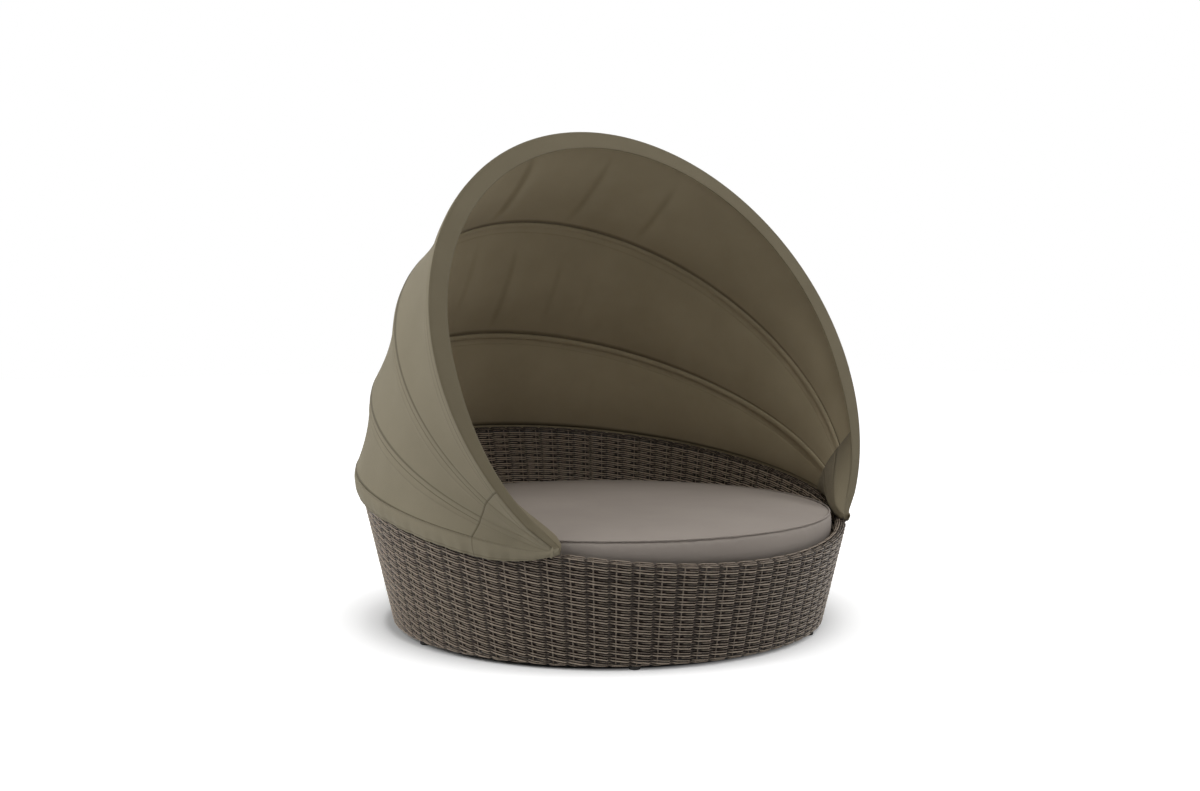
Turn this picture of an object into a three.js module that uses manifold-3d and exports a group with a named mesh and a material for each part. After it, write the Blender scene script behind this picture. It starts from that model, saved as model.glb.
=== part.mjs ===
// Outdoor daybed with a folding canopy.
// A round woven base has a rim that rises to the back, and stands on six glides.
// A loose round cushion lies on a deck inside it. Three flat bows swing on two pivot bolts
// at the sides and carry the canopy cloth, which ends in an elastic hem round the rim.
// Millimetres, +Z up. The open side faces -Y, and the origin lies on the floor below the middle.
import * as THREE from "three";
import { mergeVertices } from "three/addons/utils/BufferGeometryUtils.js";
import Module from "manifold-3d";

const wasm = await Module();
wasm.setup();

// Fits
const touchGap = 0.3; // between pieces that rest on each other
const cutOverrun = 3; // how far a cutter passes the face it opens

// Woven wall, a cone whose top is cut by a sloping plane
const glideHeight = 12;
const baseRadius = 767; // outside of the wall at its lower edge
const wallFlareDeg = 13.2;
const wallThickness = 34;
const skinThickness = 4;
const rimHeight = 468; // top of the rim above the middle of the base
const rimSlopeDeg = 10.19;
const lowerCornerRadius = 14;
const lipWidth = 28; // the outer skin turns in this far below the lower tube

// Rim border, the woven cap over the rim tube
const borderProud = 0.5;
const borderThickness = 5;
const borderDepth = 15;
const borderCornerRadius = 8;

// Frame tubes
const rimTubeRadius = 11;
const lowerTubeRadius = 12.5;
const uprightRadius = 10;
const uprightCount = 12;
const uprightEntry = 5; // its ends are coped this deep over the tubes

// Seat frame, deck and cushion
const deckDepth = 207; // from the rim above the middle of the base down to the top of the deck
const deckThickness = 7;
const seatRingHeight = 39.7;
const seatRingWall = 4;
const seatRingFlange = 30;
const railCount = 5;
const railSpacing = 250;
const railWidth = 25;
const railWall = 2;
const cushionClearance = 10.4; // from its foot to the inner skin at the deck
const cushionSeamOut = 14; // how far the upper seam stands out beyond the foot
const cushionHeight = 139; // from the deck to the upper seam
const cushionCrown = 17;
const cushionBulge = 16;
const cushionFootRise = 7;
const cushionEdgeRadius = 4.5; // half thickness of the seam's piping

// Glides
const glideCount = 6;
const glideRadius = 20;
const glideChamfer = 3;

// Bows: flat bars that lie inside each other, with cranked ends on the pivot bolts
const pivotFromFrontDeg = 46.37; // where on the rim the pivots stand
const pivotRise = 9; // bolt axis above the rim
const bowWidth = 16;
const bowThickness = 4;
const bowPitch = 5.5; // from one bow to the next inside it
const bowOverRim = 1.8; // how far the front bow, laid back, passes the rim's rear edge
const bowCentreBack = 40; // the bows' arcs turn about a point this far behind the base's middle
const bowBendRadius = 30;
const bowShoulderRadius = 220;
const bowShoulderDeg = -33; // where the shoulder runs into the main arc
const bowAnglesDeg = [65.94, 46.27, 25.77]; // front, upper and lower bow, above level

// Pivot hardware
const boltRadius = 4;
const boltHeadRadius = 7.5;
const boltHeadHeight = 4.5;
const washerRadius = 8;
const nutRadius = 7;
const nutHeight = 7.5;
const nutWall = 1.5;
const tabThickness = 5;
const tabWidth = 27;
const tabOut = 4.4; // from the middle of the rim tube to the middle of the tab
const tabSeatDepth = 3; // the tab straddles the rim tube this far

// Canopy cloth
const clothThickness = 2.5;
const clothStartDeg = -37.7; // where the panels end near a pivot, on the bow's arc
const rimStartDeg = 55.6; // where the hem ends near a pivot, from the front
const sagShare = 0.045; // sag of a panel as a share of its width
const bandWidth = 57; // front facing band
const bandEndShare = 0.55; // its width at the ends as a share of the full width
const bandLipWidth = 12;
const bandLipThickness = 4.5;
const hemTop = 5; // stitch line above the rim
const hemDropFront = 55; // lower edge of the hem below the rim
const hemDropBack = 98;
const hemDropStartDeg = 84;
const hemDropEndDeg = 132;
const hemBulgeFront = 6;
const hemBulgeBack = 13;
const gatherDepth = 5;
const gatherCount = 29;
const cornerReach = 20; // the cloth corner goes this far round the bolt
const cornerOut = 8; // its outer face from the middle of the outermost bow end
const cornerStartDeg = 126;
const cornerEndDeg = 225;

// Numbers of steps round the curved pieces
const wallSteps = 48;
const sectionSteps = 8;
const uprightSides = 8;
const bowArcSteps = 16; // over half of the main arc
const gatherSteps = 4;
const cushionSides = 48;
const roundSides = 14;

const degree = Math.PI / 180;
const flare = Math.tan(wallFlareDeg * degree);
const rimSlope = Math.tan(rimSlopeDeg * degree);
const wallMiddle = -wallThickness / 2;
const deckHeight = rimHeight - deckDepth;
const clothOut = borderProud + touchGap + clothThickness;
const deckRadiusClearance = touchGap + flare * deckThickness;

const colours = {
  weave: 0x5b5149,
  frame: 0x3b3835,
  deck: 0x4a443f,
  cushion: 0x877d78,
  cloth: 0x857e6c,
  bow: 0x6f695c,
  bolt: 0x8c8c8a,
  rubber: 0x22211f,
};

function finish(colour, roughness, metalness) {
  return new THREE.MeshStandardMaterial({ color: colour, roughness, metalness });
}

// Points on the wall

// A point near the sloping rim: phi turns from the front towards +X, out is measured from the
// wall's outer face, and up from the top of the rim.
function onRim(phi, out, up) {
  const level = baseRadius + flare * (rimHeight + up - glideHeight) + out;
  const r = level / (1 + flare * rimSlope * Math.cos(phi));
  const y = -r * Math.cos(phi);
  return new THREE.Vector3(r * Math.sin(phi), y, rimHeight + rimSlope * y + up);
}

// The same at a height above the floor.
function onWall(phi, out, height) {
  const r = baseRadius + flare * (height - glideHeight) + out;
  return new THREE.Vector3(r * Math.sin(phi), -r * Math.cos(phi), height);
}

function spread(count, from, to) {
  return Array.from({ length: count + 1 }, (_, i) => from + ((to - from) * i) / count);
}

function smooth(from, to, value) {
  const t = THREE.MathUtils.clamp((value - from) / (to - from), 0, 1);
  return t * t * (3 - 2 * t);
}

// Closed surfaces

function volumeOf(position, index) {
  const a = new THREE.Vector3();
  const b = new THREE.Vector3();
  const c = new THREE.Vector3();
  let sum = 0;
  for (let i = 0; i < index.length; i += 3) {
    a.fromBufferAttribute(position, index[i]);
    b.fromBufferAttribute(position, index[i + 1]);
    c.fromBufferAttribute(position, index[i + 2]);
    sum += a.dot(b.cross(c));
  }
  return sum / 6;
}

// Keeps the positions alone, welds them, and turns the faces outwards.
function welded(geometry) {
  const bare = geometry.clone();
  bare.deleteAttribute("normal");
  bare.deleteAttribute("uv");
  const joined = mergeVertices(bare);
  const index = Array.from(joined.index.array);
  if (volumeOf(joined.attributes.position, index) < 0) index.reverse();
  joined.setIndex(index);
  return joined;
}

// Joins a row of sections, each a loop of points. An open row is capped at both ends, where
// the first half of a section lies opposite the second half.
function loft(sections, closed) {
  const count = sections[0].length;
  const index = [];
  const spans = closed ? sections.length : sections.length - 1;
  for (let i = 0; i < spans; i++) {
    const a = i * count;
    const b = ((i + 1) % sections.length) * count;
    for (let j = 0; j < count; j++) {
      const k = (j + 1) % count;
      index.push(a + j, b + j, b + k, a + j, b + k, a + k);
    }
  }
  const last = closed ? 0 : (sections.length - 1) * count;
  for (let j = 0; last && j < count / 2 - 1; j++) {
    const k = count - 1 - j;
    index.push(j, j + 1, k - 1, j, k - 1, k);
    index.push(last + j, last + k - 1, last + j + 1, last + j, last + k, last + k - 1);
  }
  const points = sections.flat().flatMap((p) => p.toArray());
  const geometry = new THREE.BufferGeometry();
  geometry.setAttribute("position", new THREE.Float32BufferAttribute(points, 3));
  geometry.setIndex(index);
  return welded(geometry);
}

// A ring round the base whose section at each angle is given by a function.
function ringAround(steps, sectionAt) {
  const angles = spread(steps, 0, 2 * Math.PI).slice(0, steps);
  return loft(angles.map(sectionAt), true);
}

// A profile of [radius, height] points turned round the Z axis.
function turned(profile, sides) {
  const points = profile.map(([r, z]) => new THREE.Vector2(r, z));
  return welded(new THREE.LatheGeometry(points, sides)).rotateX(Math.PI / 2);
}

function solidOf(geometry) {
  const triVerts = Uint32Array.from(geometry.index.array);
  const vertProperties = Float32Array.from(geometry.attributes.position.array);
  return new wasm.Manifold(new wasm.Mesh({ numProp: 3, vertProperties, triVerts }));
}

function geometryOf(solid) {
  const mesh = solid.getMesh();
  const geometry = new THREE.BufferGeometry();
  geometry.setAttribute("position", new THREE.BufferAttribute(mesh.vertProperties, 3));
  geometry.setIndex(Array.from(mesh.triVerts));
  return geometry;
}

function cut(geometry, cutters) {
  return geometryOf(cutters.reduce((solid, c) => solid.subtract(solidOf(c)), solidOf(geometry)));
}

function joined(geometry, others) {
  return geometryOf(others.reduce((solid, o) => solid.add(solidOf(o)), solidOf(geometry)));
}

const daybed = new THREE.Group();
const canopy = new THREE.Group();
daybed.add(canopy);

function place(name, geometry, material, group = daybed) {
  const mesh = new THREE.Mesh(geometry, material);
  mesh.name = name;
  group.add(mesh);
  return mesh;
}

// Frame: a rim tube and a lower tube joined by uprights inside the wall

const rimTubeUp = -borderThickness - touchGap - rimTubeRadius;
const lowerTubeHeight = glideHeight + skinThickness + touchGap + lowerTubeRadius;

function rimTube(radius) {
  return ringAround(wallSteps, (phi) =>
    spread(sectionSteps, 0, 2 * Math.PI)
      .slice(1)
      .map((a) => onRim(phi, wallMiddle + radius * Math.cos(a), rimTubeUp + radius * Math.sin(a)))
  );
}

function lowerTube(radius) {
  return ringAround(wallSteps, (phi) =>
    spread(sectionSteps, 0, 2 * Math.PI)
      .slice(1)
      .map((a) => {
        const out = wallMiddle + radius * Math.cos(a);
        const centre = onWall(phi, out, lowerTubeHeight);
        return centre.setZ(lowerTubeHeight + radius * Math.sin(a));
      })
  );
}

// An upright runs from tube to tube, and its ends are coped to fit them.
function upright(phi) {
  const foot = onWall(phi, wallMiddle, lowerTubeHeight);
  const head = onRim(phi, wallMiddle, rimTubeUp);
  const axis = head.clone().sub(foot).normalize();
  foot.addScaledVector(axis, lowerTubeRadius - uprightEntry);
  head.addScaledVector(axis, uprightEntry - rimTubeRadius);
  const length = head.distanceTo(foot);
  const bar = new THREE.CylinderGeometry(uprightRadius, uprightRadius, length, uprightSides);
  const upwards = new THREE.Vector3(0, 1, 0);
  bar.applyQuaternion(new THREE.Quaternion().setFromUnitVectors(upwards, axis));
  bar.translate(...foot.lerp(head, 1 / 2).toArray());
  return cut(welded(bar), [rimTube(rimTubeRadius + touchGap), lowerTube(lowerTubeRadius + touchGap)]);
}

function buildFrame() {
  const paint = finish(colours.frame, 0.55, 0.6);
  place("rim_tube", rimTube(rimTubeRadius), paint);
  place("lower_tube", lowerTube(lowerTubeRadius), paint);
  for (let i = 0; i < uprightCount; i++) {
    const phi = ((i + 1 / 2) * 2 * Math.PI) / uprightCount;
    place(`upright_${String(i + 1).padStart(2, "0")}`, upright(phi), paint);
  }
}

// Woven skins: the outer one turns in below the lower tube, the inner one stands on the seat ring

const seatRingTop = deckHeight - deckThickness - touchGap;
const borderFoot = -borderDepth - touchGap;

function outerSkin() {
  const bend = spread(2, 0, Math.PI / 2);
  return ringAround(wallSteps, (phi) => {
    const corner = (radius) =>
      bend.map((a) => {
        const out = -lowerCornerRadius + radius * Math.cos(a);
        const height = glideHeight + lowerCornerRadius - radius * Math.sin(a);
        return onWall(phi, out - flare * (height - glideHeight - lowerCornerRadius), height);
      });
    const inner = lowerCornerRadius - skinThickness;
    return [
      onRim(phi, 0, borderFoot),
      ...corner(lowerCornerRadius),
      onWall(phi, -lipWidth, glideHeight),
      onWall(phi, -lipWidth, glideHeight + skinThickness),
      ...corner(inner).reverse(),
      onRim(phi, -skinThickness, borderFoot),
    ];
  });
}

function innerSkin() {
  const foot = seatRingTop + touchGap;
  const face = -wallThickness;
  return ringAround(wallSteps, (phi) => [
    onRim(phi, face, borderFoot),
    onRim(phi, face + skinThickness, borderFoot),
    onWall(phi, face + skinThickness, foot),
    onWall(phi, face, foot),
  ]);
}

// The border's section is a round-cornered cap with a round seat for the rim tube.
function rimBorder() {
  const half = wallThickness / 2 + borderProud;
  const seat = rimTubeRadius + touchGap;
  const seatFoot = Math.sqrt(seat ** 2 - (rimTubeUp + borderDepth) ** 2);
  const footAngle = Math.atan2(-borderDepth - rimTubeUp, seatFoot);
  const corner = spread(2, 0, Math.PI / 2);
  const inset = half - borderCornerRadius;
  const cap = [
    [half, -borderDepth],
    ...corner.map((a) => [
      inset + borderCornerRadius * Math.cos(a),
      -borderCornerRadius + borderCornerRadius * Math.sin(a),
    ]),
  ];
  const outside = [...cap, ...cap.map(([o, u]) => [-o, u]).reverse()];
  const inside = spread(outside.length - 1, Math.PI - footAngle, footAngle).map((a) => [
    seat * Math.cos(a),
    rimTubeUp + seat * Math.sin(a),
  ]);
  return ringAround(wallSteps, (phi) =>
    [...outside, ...inside].map(([out, up]) => onRim(phi, wallMiddle + out, up))
  );
}

// Pivot line: everything on it is placed in the canopy group, whose origin is on the bolt axis

const pivotSeat = onRim(pivotFromFrontDeg * degree, wallMiddle, rimTubeUp);
const pivotSetback = -pivotSeat.y;
const pivotHeight = rimHeight - rimSlope * pivotSetback + pivotRise;
canopy.position.set(0, -pivotSetback, pivotHeight);
const bowGap = bowPitch - bowThickness;
const tabOffset = pivotSeat.x + tabOut;
const lowerBowOffset = tabOffset + tabThickness / 2 + bowGap + bowThickness / 2;
const bowEndOffset = lowerBowOffset + (bowAnglesDeg.length - 1) * bowPitch;
const bowCentreReach = pivotSetback + bowCentreBack;
const bowRadius = onRim(Math.PI, bowOverRim, 0).y - bowCentreBack;
const sides = [
  ["left", -1],
  ["right", 1],
];

// A cylinder along X, centred at a distance from the middle.
function crossCylinder(radius, length, offset) {
  const bar = new THREE.CylinderGeometry(radius, radius, length, roundSides);
  return welded(bar.rotateZ(Math.PI / 2).translate(offset, 0, 0));
}

// A profile of [radius, distance from the middle] points, turned round the bolt axis.
function onBolt(profile, side) {
  const geometry = turned(profile, roundSides).rotateY((side * Math.PI) / 2);
  return welded(geometry);
}

// The tab's outline in the pivot plane: a round eye on a straight foot that reaches the rim tube.
function pivotTab(side, clearance) {
  const foot = -(pivotRise + borderThickness + touchGap + tabSeatDepth);
  const half = tabWidth / 2 + clearance;
  const eye = new THREE.Shape();
  eye.moveTo(-half, foot);
  eye.lineTo(half, foot);
  eye.lineTo(half, 0);
  eye.absarc(0, 0, half, 0, Math.PI, false);
  eye.closePath();
  const depth = tabThickness + 2 * clearance;
  const plate = new THREE.ExtrudeGeometry(eye, {
    depth,
    bevelEnabled: false,
    curveSegments: roundSides / 2,
  });
  plate.translate(0, 0, -depth / 2);
  plate.rotateZ(Math.PI / 2).rotateY(Math.PI / 2);
  plate.rotateX(rimSlopeDeg * degree);
  return welded(plate.translate(side * tabOffset, 0, 0));
}

function buildPivots() {
  const paint = finish(colours.frame, 0.55, 0.6);
  const steel = finish(colours.bolt, 0.3, 1);
  const nylon = finish(colours.rubber, 0.7, 0);
  const tubeSeat = rimTube(rimTubeRadius + touchGap).translate(0, pivotSetback, -pivotHeight);
  const hole = boltRadius + touchGap;
  const headSeat = tabOffset - tabThickness / 2 - touchGap;
  const nutSeat = bowEndOffset + bowThickness / 2 + bowGap;
  const boltEnd = nutSeat + nutHeight - nutWall - touchGap;
  for (const [sideName, side] of sides) {
    const eye = crossCylinder(hole, tabThickness + cutOverrun, side * tabOffset);
    place(`pivot_tab_${sideName}`, cut(pivotTab(side, 0), [tubeSeat, eye]), paint, canopy);
    const bolt = [
      [0, headSeat - boltHeadHeight],
      [boltHeadRadius / 2, headSeat - boltHeadHeight],
      [boltHeadRadius, headSeat - boltHeadHeight / 2],
      [boltHeadRadius, headSeat],
      [boltRadius, headSeat],
      [boltRadius, boltEnd],
      [0, boltEnd],
    ];
    place(`pivot_bolt_${sideName}`, onBolt(bolt, side), steel, canopy);
    const capStart = nutHeight / 2;
    const nut = [
      [hole, nutSeat],
      [nutRadius, nutSeat],
      [nutRadius, nutSeat + capStart],
      [nutRadius / 2, nutSeat + nutHeight],
      [0, nutSeat + nutHeight],
      [0, nutSeat + nutHeight - nutWall],
      [hole, nutSeat + nutHeight - nutWall],
      [hole, nutSeat],
    ];
    place(`cap_nut_${sideName}`, onBolt(nut, side), steel, canopy);
    for (let i = 0; i < bowAnglesDeg.length + 1; i++) {
      const from = bowEndOffset + bowThickness / 2 - i * bowPitch + touchGap;
      const to = from + bowGap - 2 * touchGap;
      const ring = [
        [hole, from],
        [washerRadius, from],
        [washerRadius, to],
        [hole, to],
        [hole, from],
      ];
      place(`washer_${sideName}_${i + 1}`, onBolt(ring, side), nylon, canopy);
    }
  }
}

// Bows. A bow's line lies in the plane of x and the reach u from the bolt axis. It leaves the
// bolt straight, bends out, turns over the shoulder and runs into the main arc. Each bow is the
// line moved in by its offset, so that they pass each other when they fold.
function bowLine(offset) {
  const main = bowRadius - offset;
  const shoulder = bowShoulderRadius - offset;
  const bend = bowBendRadius + offset;
  const end = bowEndOffset - offset;
  const join = bowShoulderDeg * degree;
  const shoulderX = (main - shoulder) * Math.cos(join);
  const shoulderU = bowCentreReach + (main - shoulder) * Math.sin(join);
  const start = -Math.acos((end + bend - shoulderX) / (bend + shoulder));
  const bendU = shoulderU + (bend + shoulder) * Math.sin(start);
  const line = [{ x: end, u: 0, nx: 1, nu: 0 }];
  for (const a of spread(4, 0, -start)) {
    const [nx, nu] = [Math.cos(a), -Math.sin(a)];
    line.push({ x: end + bend - bend * nx, u: bendU - bend * nu, nx, nu });
  }
  for (const a of spread(3, start, join).slice(1)) {
    const [nx, nu] = [Math.cos(a), Math.sin(a)];
    line.push({ x: shoulderX + shoulder * nx, u: shoulderU + shoulder * nu, nx, nu });
  }
  for (const a of spread(bowArcSteps, join, Math.PI / 2).slice(1)) {
    const [nx, nu] = [Math.cos(a), Math.sin(a)];
    line.push({ x: main * nx, u: bowCentreReach + main * nu, nx, nu });
  }
  const mirrored = line.slice(0, -1).map((p) => ({ ...p, x: -p.x, nx: -p.nx }));
  return [...line, ...mirrored.reverse()];
}

function bowBar(offset) {
  const line = bowLine(offset);
  const half = bowThickness / 2;
  const side = (sign) => line.map((p) => [p.x + sign * half * p.nx, p.u + sign * half * p.nu]);
  const outline = [...side(1), ...side(-1).reverse()].map(([x, u]) => new THREE.Vector2(x, u));
  const bar = new THREE.ExtrudeGeometry(new THREE.Shape(outline), {
    depth: bowWidth,
    bevelEnabled: false,
  });
  const end = bowEndOffset - offset;
  const eyes = sides.map(([, s]) => crossCylinder(bowWidth / 2, bowThickness, s * end));
  const holes = sides.map(([, s]) =>
    crossCylinder(boltRadius + touchGap, bowThickness + cutOverrun, s * end)
  );
  return cut(joined(welded(bar.translate(0, 0, -bowWidth / 2)), eyes), holes);
}

const bowNames = ["front_bow", "upper_bow", "lower_bow"];

function buildBows() {
  const paint = finish(colours.bow, 0.5, 0.5);
  bowNames.forEach((name, i) => {
    const bow = place(name, bowBar(i * bowPitch), paint, canopy);
    bow.rotation.x = bowAnglesDeg[i] * degree;
  });
}

// Canopy cloth

const clothStart = clothStartDeg * degree;
const rimStart = rimStartDeg * degree;
const halfBow = bowWidth / 2;

// The cloth bends where the bows do, so that it lies evenly on them.
const halfArc = [clothStart, ...spread(bowArcSteps, bowShoulderDeg * degree, Math.PI / 2)];
const clothAngles = [...halfArc, ...halfArc.slice(0, -1).map((a) => Math.PI - a).reverse()];

function clothRadius(bow) {
  return bowRadius + bowThickness / 2 + touchGap + clothThickness - bow * bowPitch;
}

// A point over a bow: a is the angle on its arc, depth goes in from the cloth's face, and
// across is the distance in front of the bow's middle plane.
function overBow(bow, a, depth, across) {
  const tilt = bowAnglesDeg[bow] * degree;
  const r = clothRadius(bow) - depth;
  const u = bowCentreReach + r * Math.sin(a);
  const y = u * Math.cos(tilt) - across * Math.sin(tilt);
  const z = u * Math.sin(tilt) + across * Math.cos(tilt);
  return new THREE.Vector3(r * Math.cos(a), y, z);
}

// The place on the rim that lies below the angle a of the lower bow.
function besideRim(a, depth, up) {
  const turn = (Math.PI / 2 - a) / (Math.PI / 2 - clothStart);
  const phi = Math.PI - (Math.PI - rimStart) * turn;
  return onRim(phi, clothOut - depth, up).sub(canopy.position);
}

// Across a panel: over the front bow, down in a sag, and up to the next bow or to the rim.
// It gives the outer face's points and then the inner face's, back again.
function panelSection(bow, a) {
  const lowest = bow === bowAnglesDeg.length - 1;
  const rear = (depth) =>
    lowest ? besideRim(a, depth, hemTop + touchGap) : overBow(bow + 1, a, depth, halfBow + touchGap);
  const from = overBow(bow, a, 0, -halfBow);
  const to = rear(0);
  const span = from.distanceTo(to);
  const nextDeg = lowest ? rimSlopeDeg : bowAnglesDeg[bow + 1];
  const middle = ((bowAnglesDeg[bow] + nextDeg) / 2) * degree;
  const focus = new THREE.Vector3(0, Math.cos(middle), Math.sin(middle)).multiplyScalar(bowCentreReach);
  const between = (depth) =>
    [1 / 6, 1 / 3, 1 / 2, 2 / 3, 5 / 6].map((t) => {
      const point = from.clone().lerp(to, t);
      const inward = focus.clone().sub(point).normalize();
      return point.addScaledVector(inward, 4 * t * (1 - t) * sagShare * span + depth);
    });
  const face = (depth) => [
    overBow(bow, a, depth, halfBow),
    overBow(bow, a, depth, -halfBow),
    ...between(depth),
    rear(depth),
  ];
  return [...face(0), ...face(clothThickness).reverse()];
}

function panel(bow) {
  return loft(clothAngles.map((a) => panelSection(bow, a)), false);
}

// The facing band lies in front of the front bow, with a rolled lip along its inner edge.
function frontBand() {
  const back = halfBow + touchGap;
  const fullWidth = (a) => {
    const rise = smooth(clothStart, 0, Math.min(a, Math.PI - a));
    return bandWidth * (bandEndShare + (1 - bandEndShare) * rise);
  };
  const section = (a) => {
    const width = fullWidth(a);
    const lip = width - bandLipWidth;
    const front = back + clothThickness;
    const bulge = back + bandLipThickness;
    return [
      overBow(0, a, 0, front),
      overBow(0, a, lip, front),
      overBow(0, a, lip + bandLipWidth / 2, bulge),
      overBow(0, a, width, (front + back) / 2),
      overBow(0, a, width - clothThickness / 2, back),
      overBow(0, a, lip + bandLipWidth / 2, back),
      overBow(0, a, lip, back),
      overBow(0, a, 0, back),
    ];
  };
  return loft(clothAngles.map(section), false);
}

// The hem hangs from the stitch line in gathers and hugs the wall with its lower edge.
function hemSection(phi) {
  const fromFront = Math.min(phi, 2 * Math.PI - phi) / degree;
  const back = smooth(hemDropStartDeg, hemDropEndDeg, fromFront);
  const drop = hemDropFront + (hemDropBack - hemDropFront) * back;
  const bulge = hemBulgeFront + (hemBulgeBack - hemBulgeFront) * back;
  const turn = (phi - rimStart) / (2 * (Math.PI - rimStart));
  const gather = (1 - Math.cos(2 * Math.PI * gatherCount * turn)) / 2;
  const face = (depth) =>
    [0, 1 / 3, 2 / 3, 1].map((t) => {
      const out = bulge * Math.sin(Math.PI * t) + gatherDepth * gather * t;
      return onRim(phi, clothOut + out - depth, hemTop - (hemTop + drop) * t);
    });
  return [...face(0), ...face(clothThickness).reverse()];
}

function hem() {
  const angles = spread(gatherCount * gatherSteps, rimStart, 2 * Math.PI - rimStart);
  return loft(angles.map(hemSection), false);
}

// The sewn corner closes the cloth round a pivot, from the ends of the panels to the tip.
function corner(side) {
  const a = clothStart - touchGap / clothRadius(0);
  const phi = rimStart - touchGap / baseRadius;
  const last = bowAnglesDeg.length - 1;
  const shiftedHem = hemSection(phi).map((p) => p.sub(canopy.position));
  const rows = [...bowAnglesDeg.keys()].map((bow) => panelSection(bow, a));
  rows[last + 1] = shiftedHem;
  const outer = rows.flatMap((row, i) => row.slice(0, row.length / 2 - (i < last ? 1 : 0)));
  const inner = rows.flatMap((row, i) =>
    row
      .slice(row.length / 2)
      .reverse()
      .slice(0, row.length / 2 - (i < last ? 1 : 0))
  );
  const sections = outer.map((edge, i) => {
    const turn = cornerStartDeg + ((cornerEndDeg - cornerStartDeg) * i) / (outer.length - 1);
    const tip = (offset) =>
      new THREE.Vector3(
        offset,
        cornerReach * Math.cos(turn * degree),
        cornerReach * Math.sin(turn * degree)
      );
    const steps = [0, 1 / 4, 1 / 2, 3 / 4, 1];
    const face = (from, to) => steps.map((t) => from.clone().lerp(to, t));
    return [
      ...face(edge, tip(bowEndOffset + cornerOut)),
      ...face(inner[i], tip(bowEndOffset + cornerOut - clothThickness)).reverse(),
    ];
  });
  const mirrored = sections.map((s) => s.map((p) => p.setX(side * p.x)));
  return loft(mirrored, false);
}

function buildCanopy() {
  const cloth = finish(colours.cloth, 0.9, 0);
  const names = ["canopy_panel_front", "canopy_panel_upper", "canopy_panel_rear"];
  names.forEach((name, i) => place(name, panel(i), cloth, canopy));
  place("front_band", frontBand(), cloth, canopy);
  place("canopy_hem", hem(), cloth);
  for (const [sideName, side] of sides) {
    place(`canopy_corner_${sideName}`, corner(side), cloth, canopy);
  }
}

// Base skins and border, with slots where the pivot tabs come through

function buildWall() {
  const weave = finish(colours.weave, 0.6, 0);
  place("outer_weave", outerSkin(), weave);
  place("inner_weave", innerSkin(), weave);
  const slots = sides.map(([, side]) =>
    pivotTab(side, touchGap).translate(0, -pivotSetback, pivotHeight)
  );
  place("rim_border", cut(rimBorder(), slots), weave);
}

// Seat ring: an angle section bent to a circle, with its flange below the rails

const seatRingRadius =
  baseRadius +
  flare * (seatRingTop - seatRingHeight - glideHeight) +
  wallMiddle -
  uprightRadius / Math.cos(wallFlareDeg * degree) -
  touchGap;

function buildSeat() {
  const paint = finish(colours.frame, 0.55, 0.6);
  const foot = seatRingTop - seatRingHeight;
  const inside = seatRingRadius - seatRingWall;
  const angle = [
    [seatRingRadius - seatRingFlange, foot],
    [seatRingRadius, foot],
    [seatRingRadius, seatRingTop],
    [inside, seatRingTop],
    [inside, foot + seatRingWall],
    [seatRingRadius - seatRingFlange, foot + seatRingWall],
    [seatRingRadius - seatRingFlange, foot],
  ];
  place("seat_ring", turned(angle, wallSteps), paint);

  const railHeight = seatRingHeight - seatRingWall - touchGap;
  const facetInside = inside * Math.cos(Math.PI / wallSteps) - touchGap;
  for (let i = 0; i < railCount; i++) {
    const y = (i - (railCount - 1) / 2) * railSpacing;
    const length = 2 * Math.sqrt(facetInside ** 2 - (Math.abs(y) + railWidth / 2) ** 2);
    const tube = new THREE.Shape();
    const [w, h] = [railWidth / 2, railHeight / 2];
    tube.moveTo(-w, -h).lineTo(w, -h).lineTo(w, h).lineTo(-w, h).closePath();
    const bore = new THREE.Path();
    const [bw, bh] = [w - railWall, h - railWall];
    bore.moveTo(-bw, -bh).lineTo(-bw, bh).lineTo(bw, bh).lineTo(bw, -bh).closePath();
    tube.holes.push(bore);
    const rail = new THREE.ExtrudeGeometry(tube, { depth: length, bevelEnabled: false });
    rail.translate(0, 0, -length / 2).rotateX(Math.PI / 2).rotateZ(Math.PI / 2);
    const mesh = place(`seat_rail_${i + 1}`, welded(rail), paint);
    mesh.position.set(0, y, seatRingTop - railHeight / 2);
  }

  const deckFoot = deckHeight - deckThickness;
  const deckRadius = onWall(0, -wallThickness, deckHeight).length();
  const skinInside = Math.abs(onWall(0, -wallThickness, deckFoot).y);
  const fitRadius = Math.min(deckRadius, skinInside) * Math.cos(Math.PI / wallSteps);
  const deckDisc = [
    [0, deckFoot],
    [fitRadius - deckRadiusClearance, deckFoot],
    [fitRadius - deckRadiusClearance, deckHeight],
    [0, deckHeight],
  ];
  place("seat_deck", turned(deckDisc, wallSteps), finish(colours.deck, 0.8, 0));
}

// Cushion: a flat foot, sides that draw in to the seams and swell between them, and a crown

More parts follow.
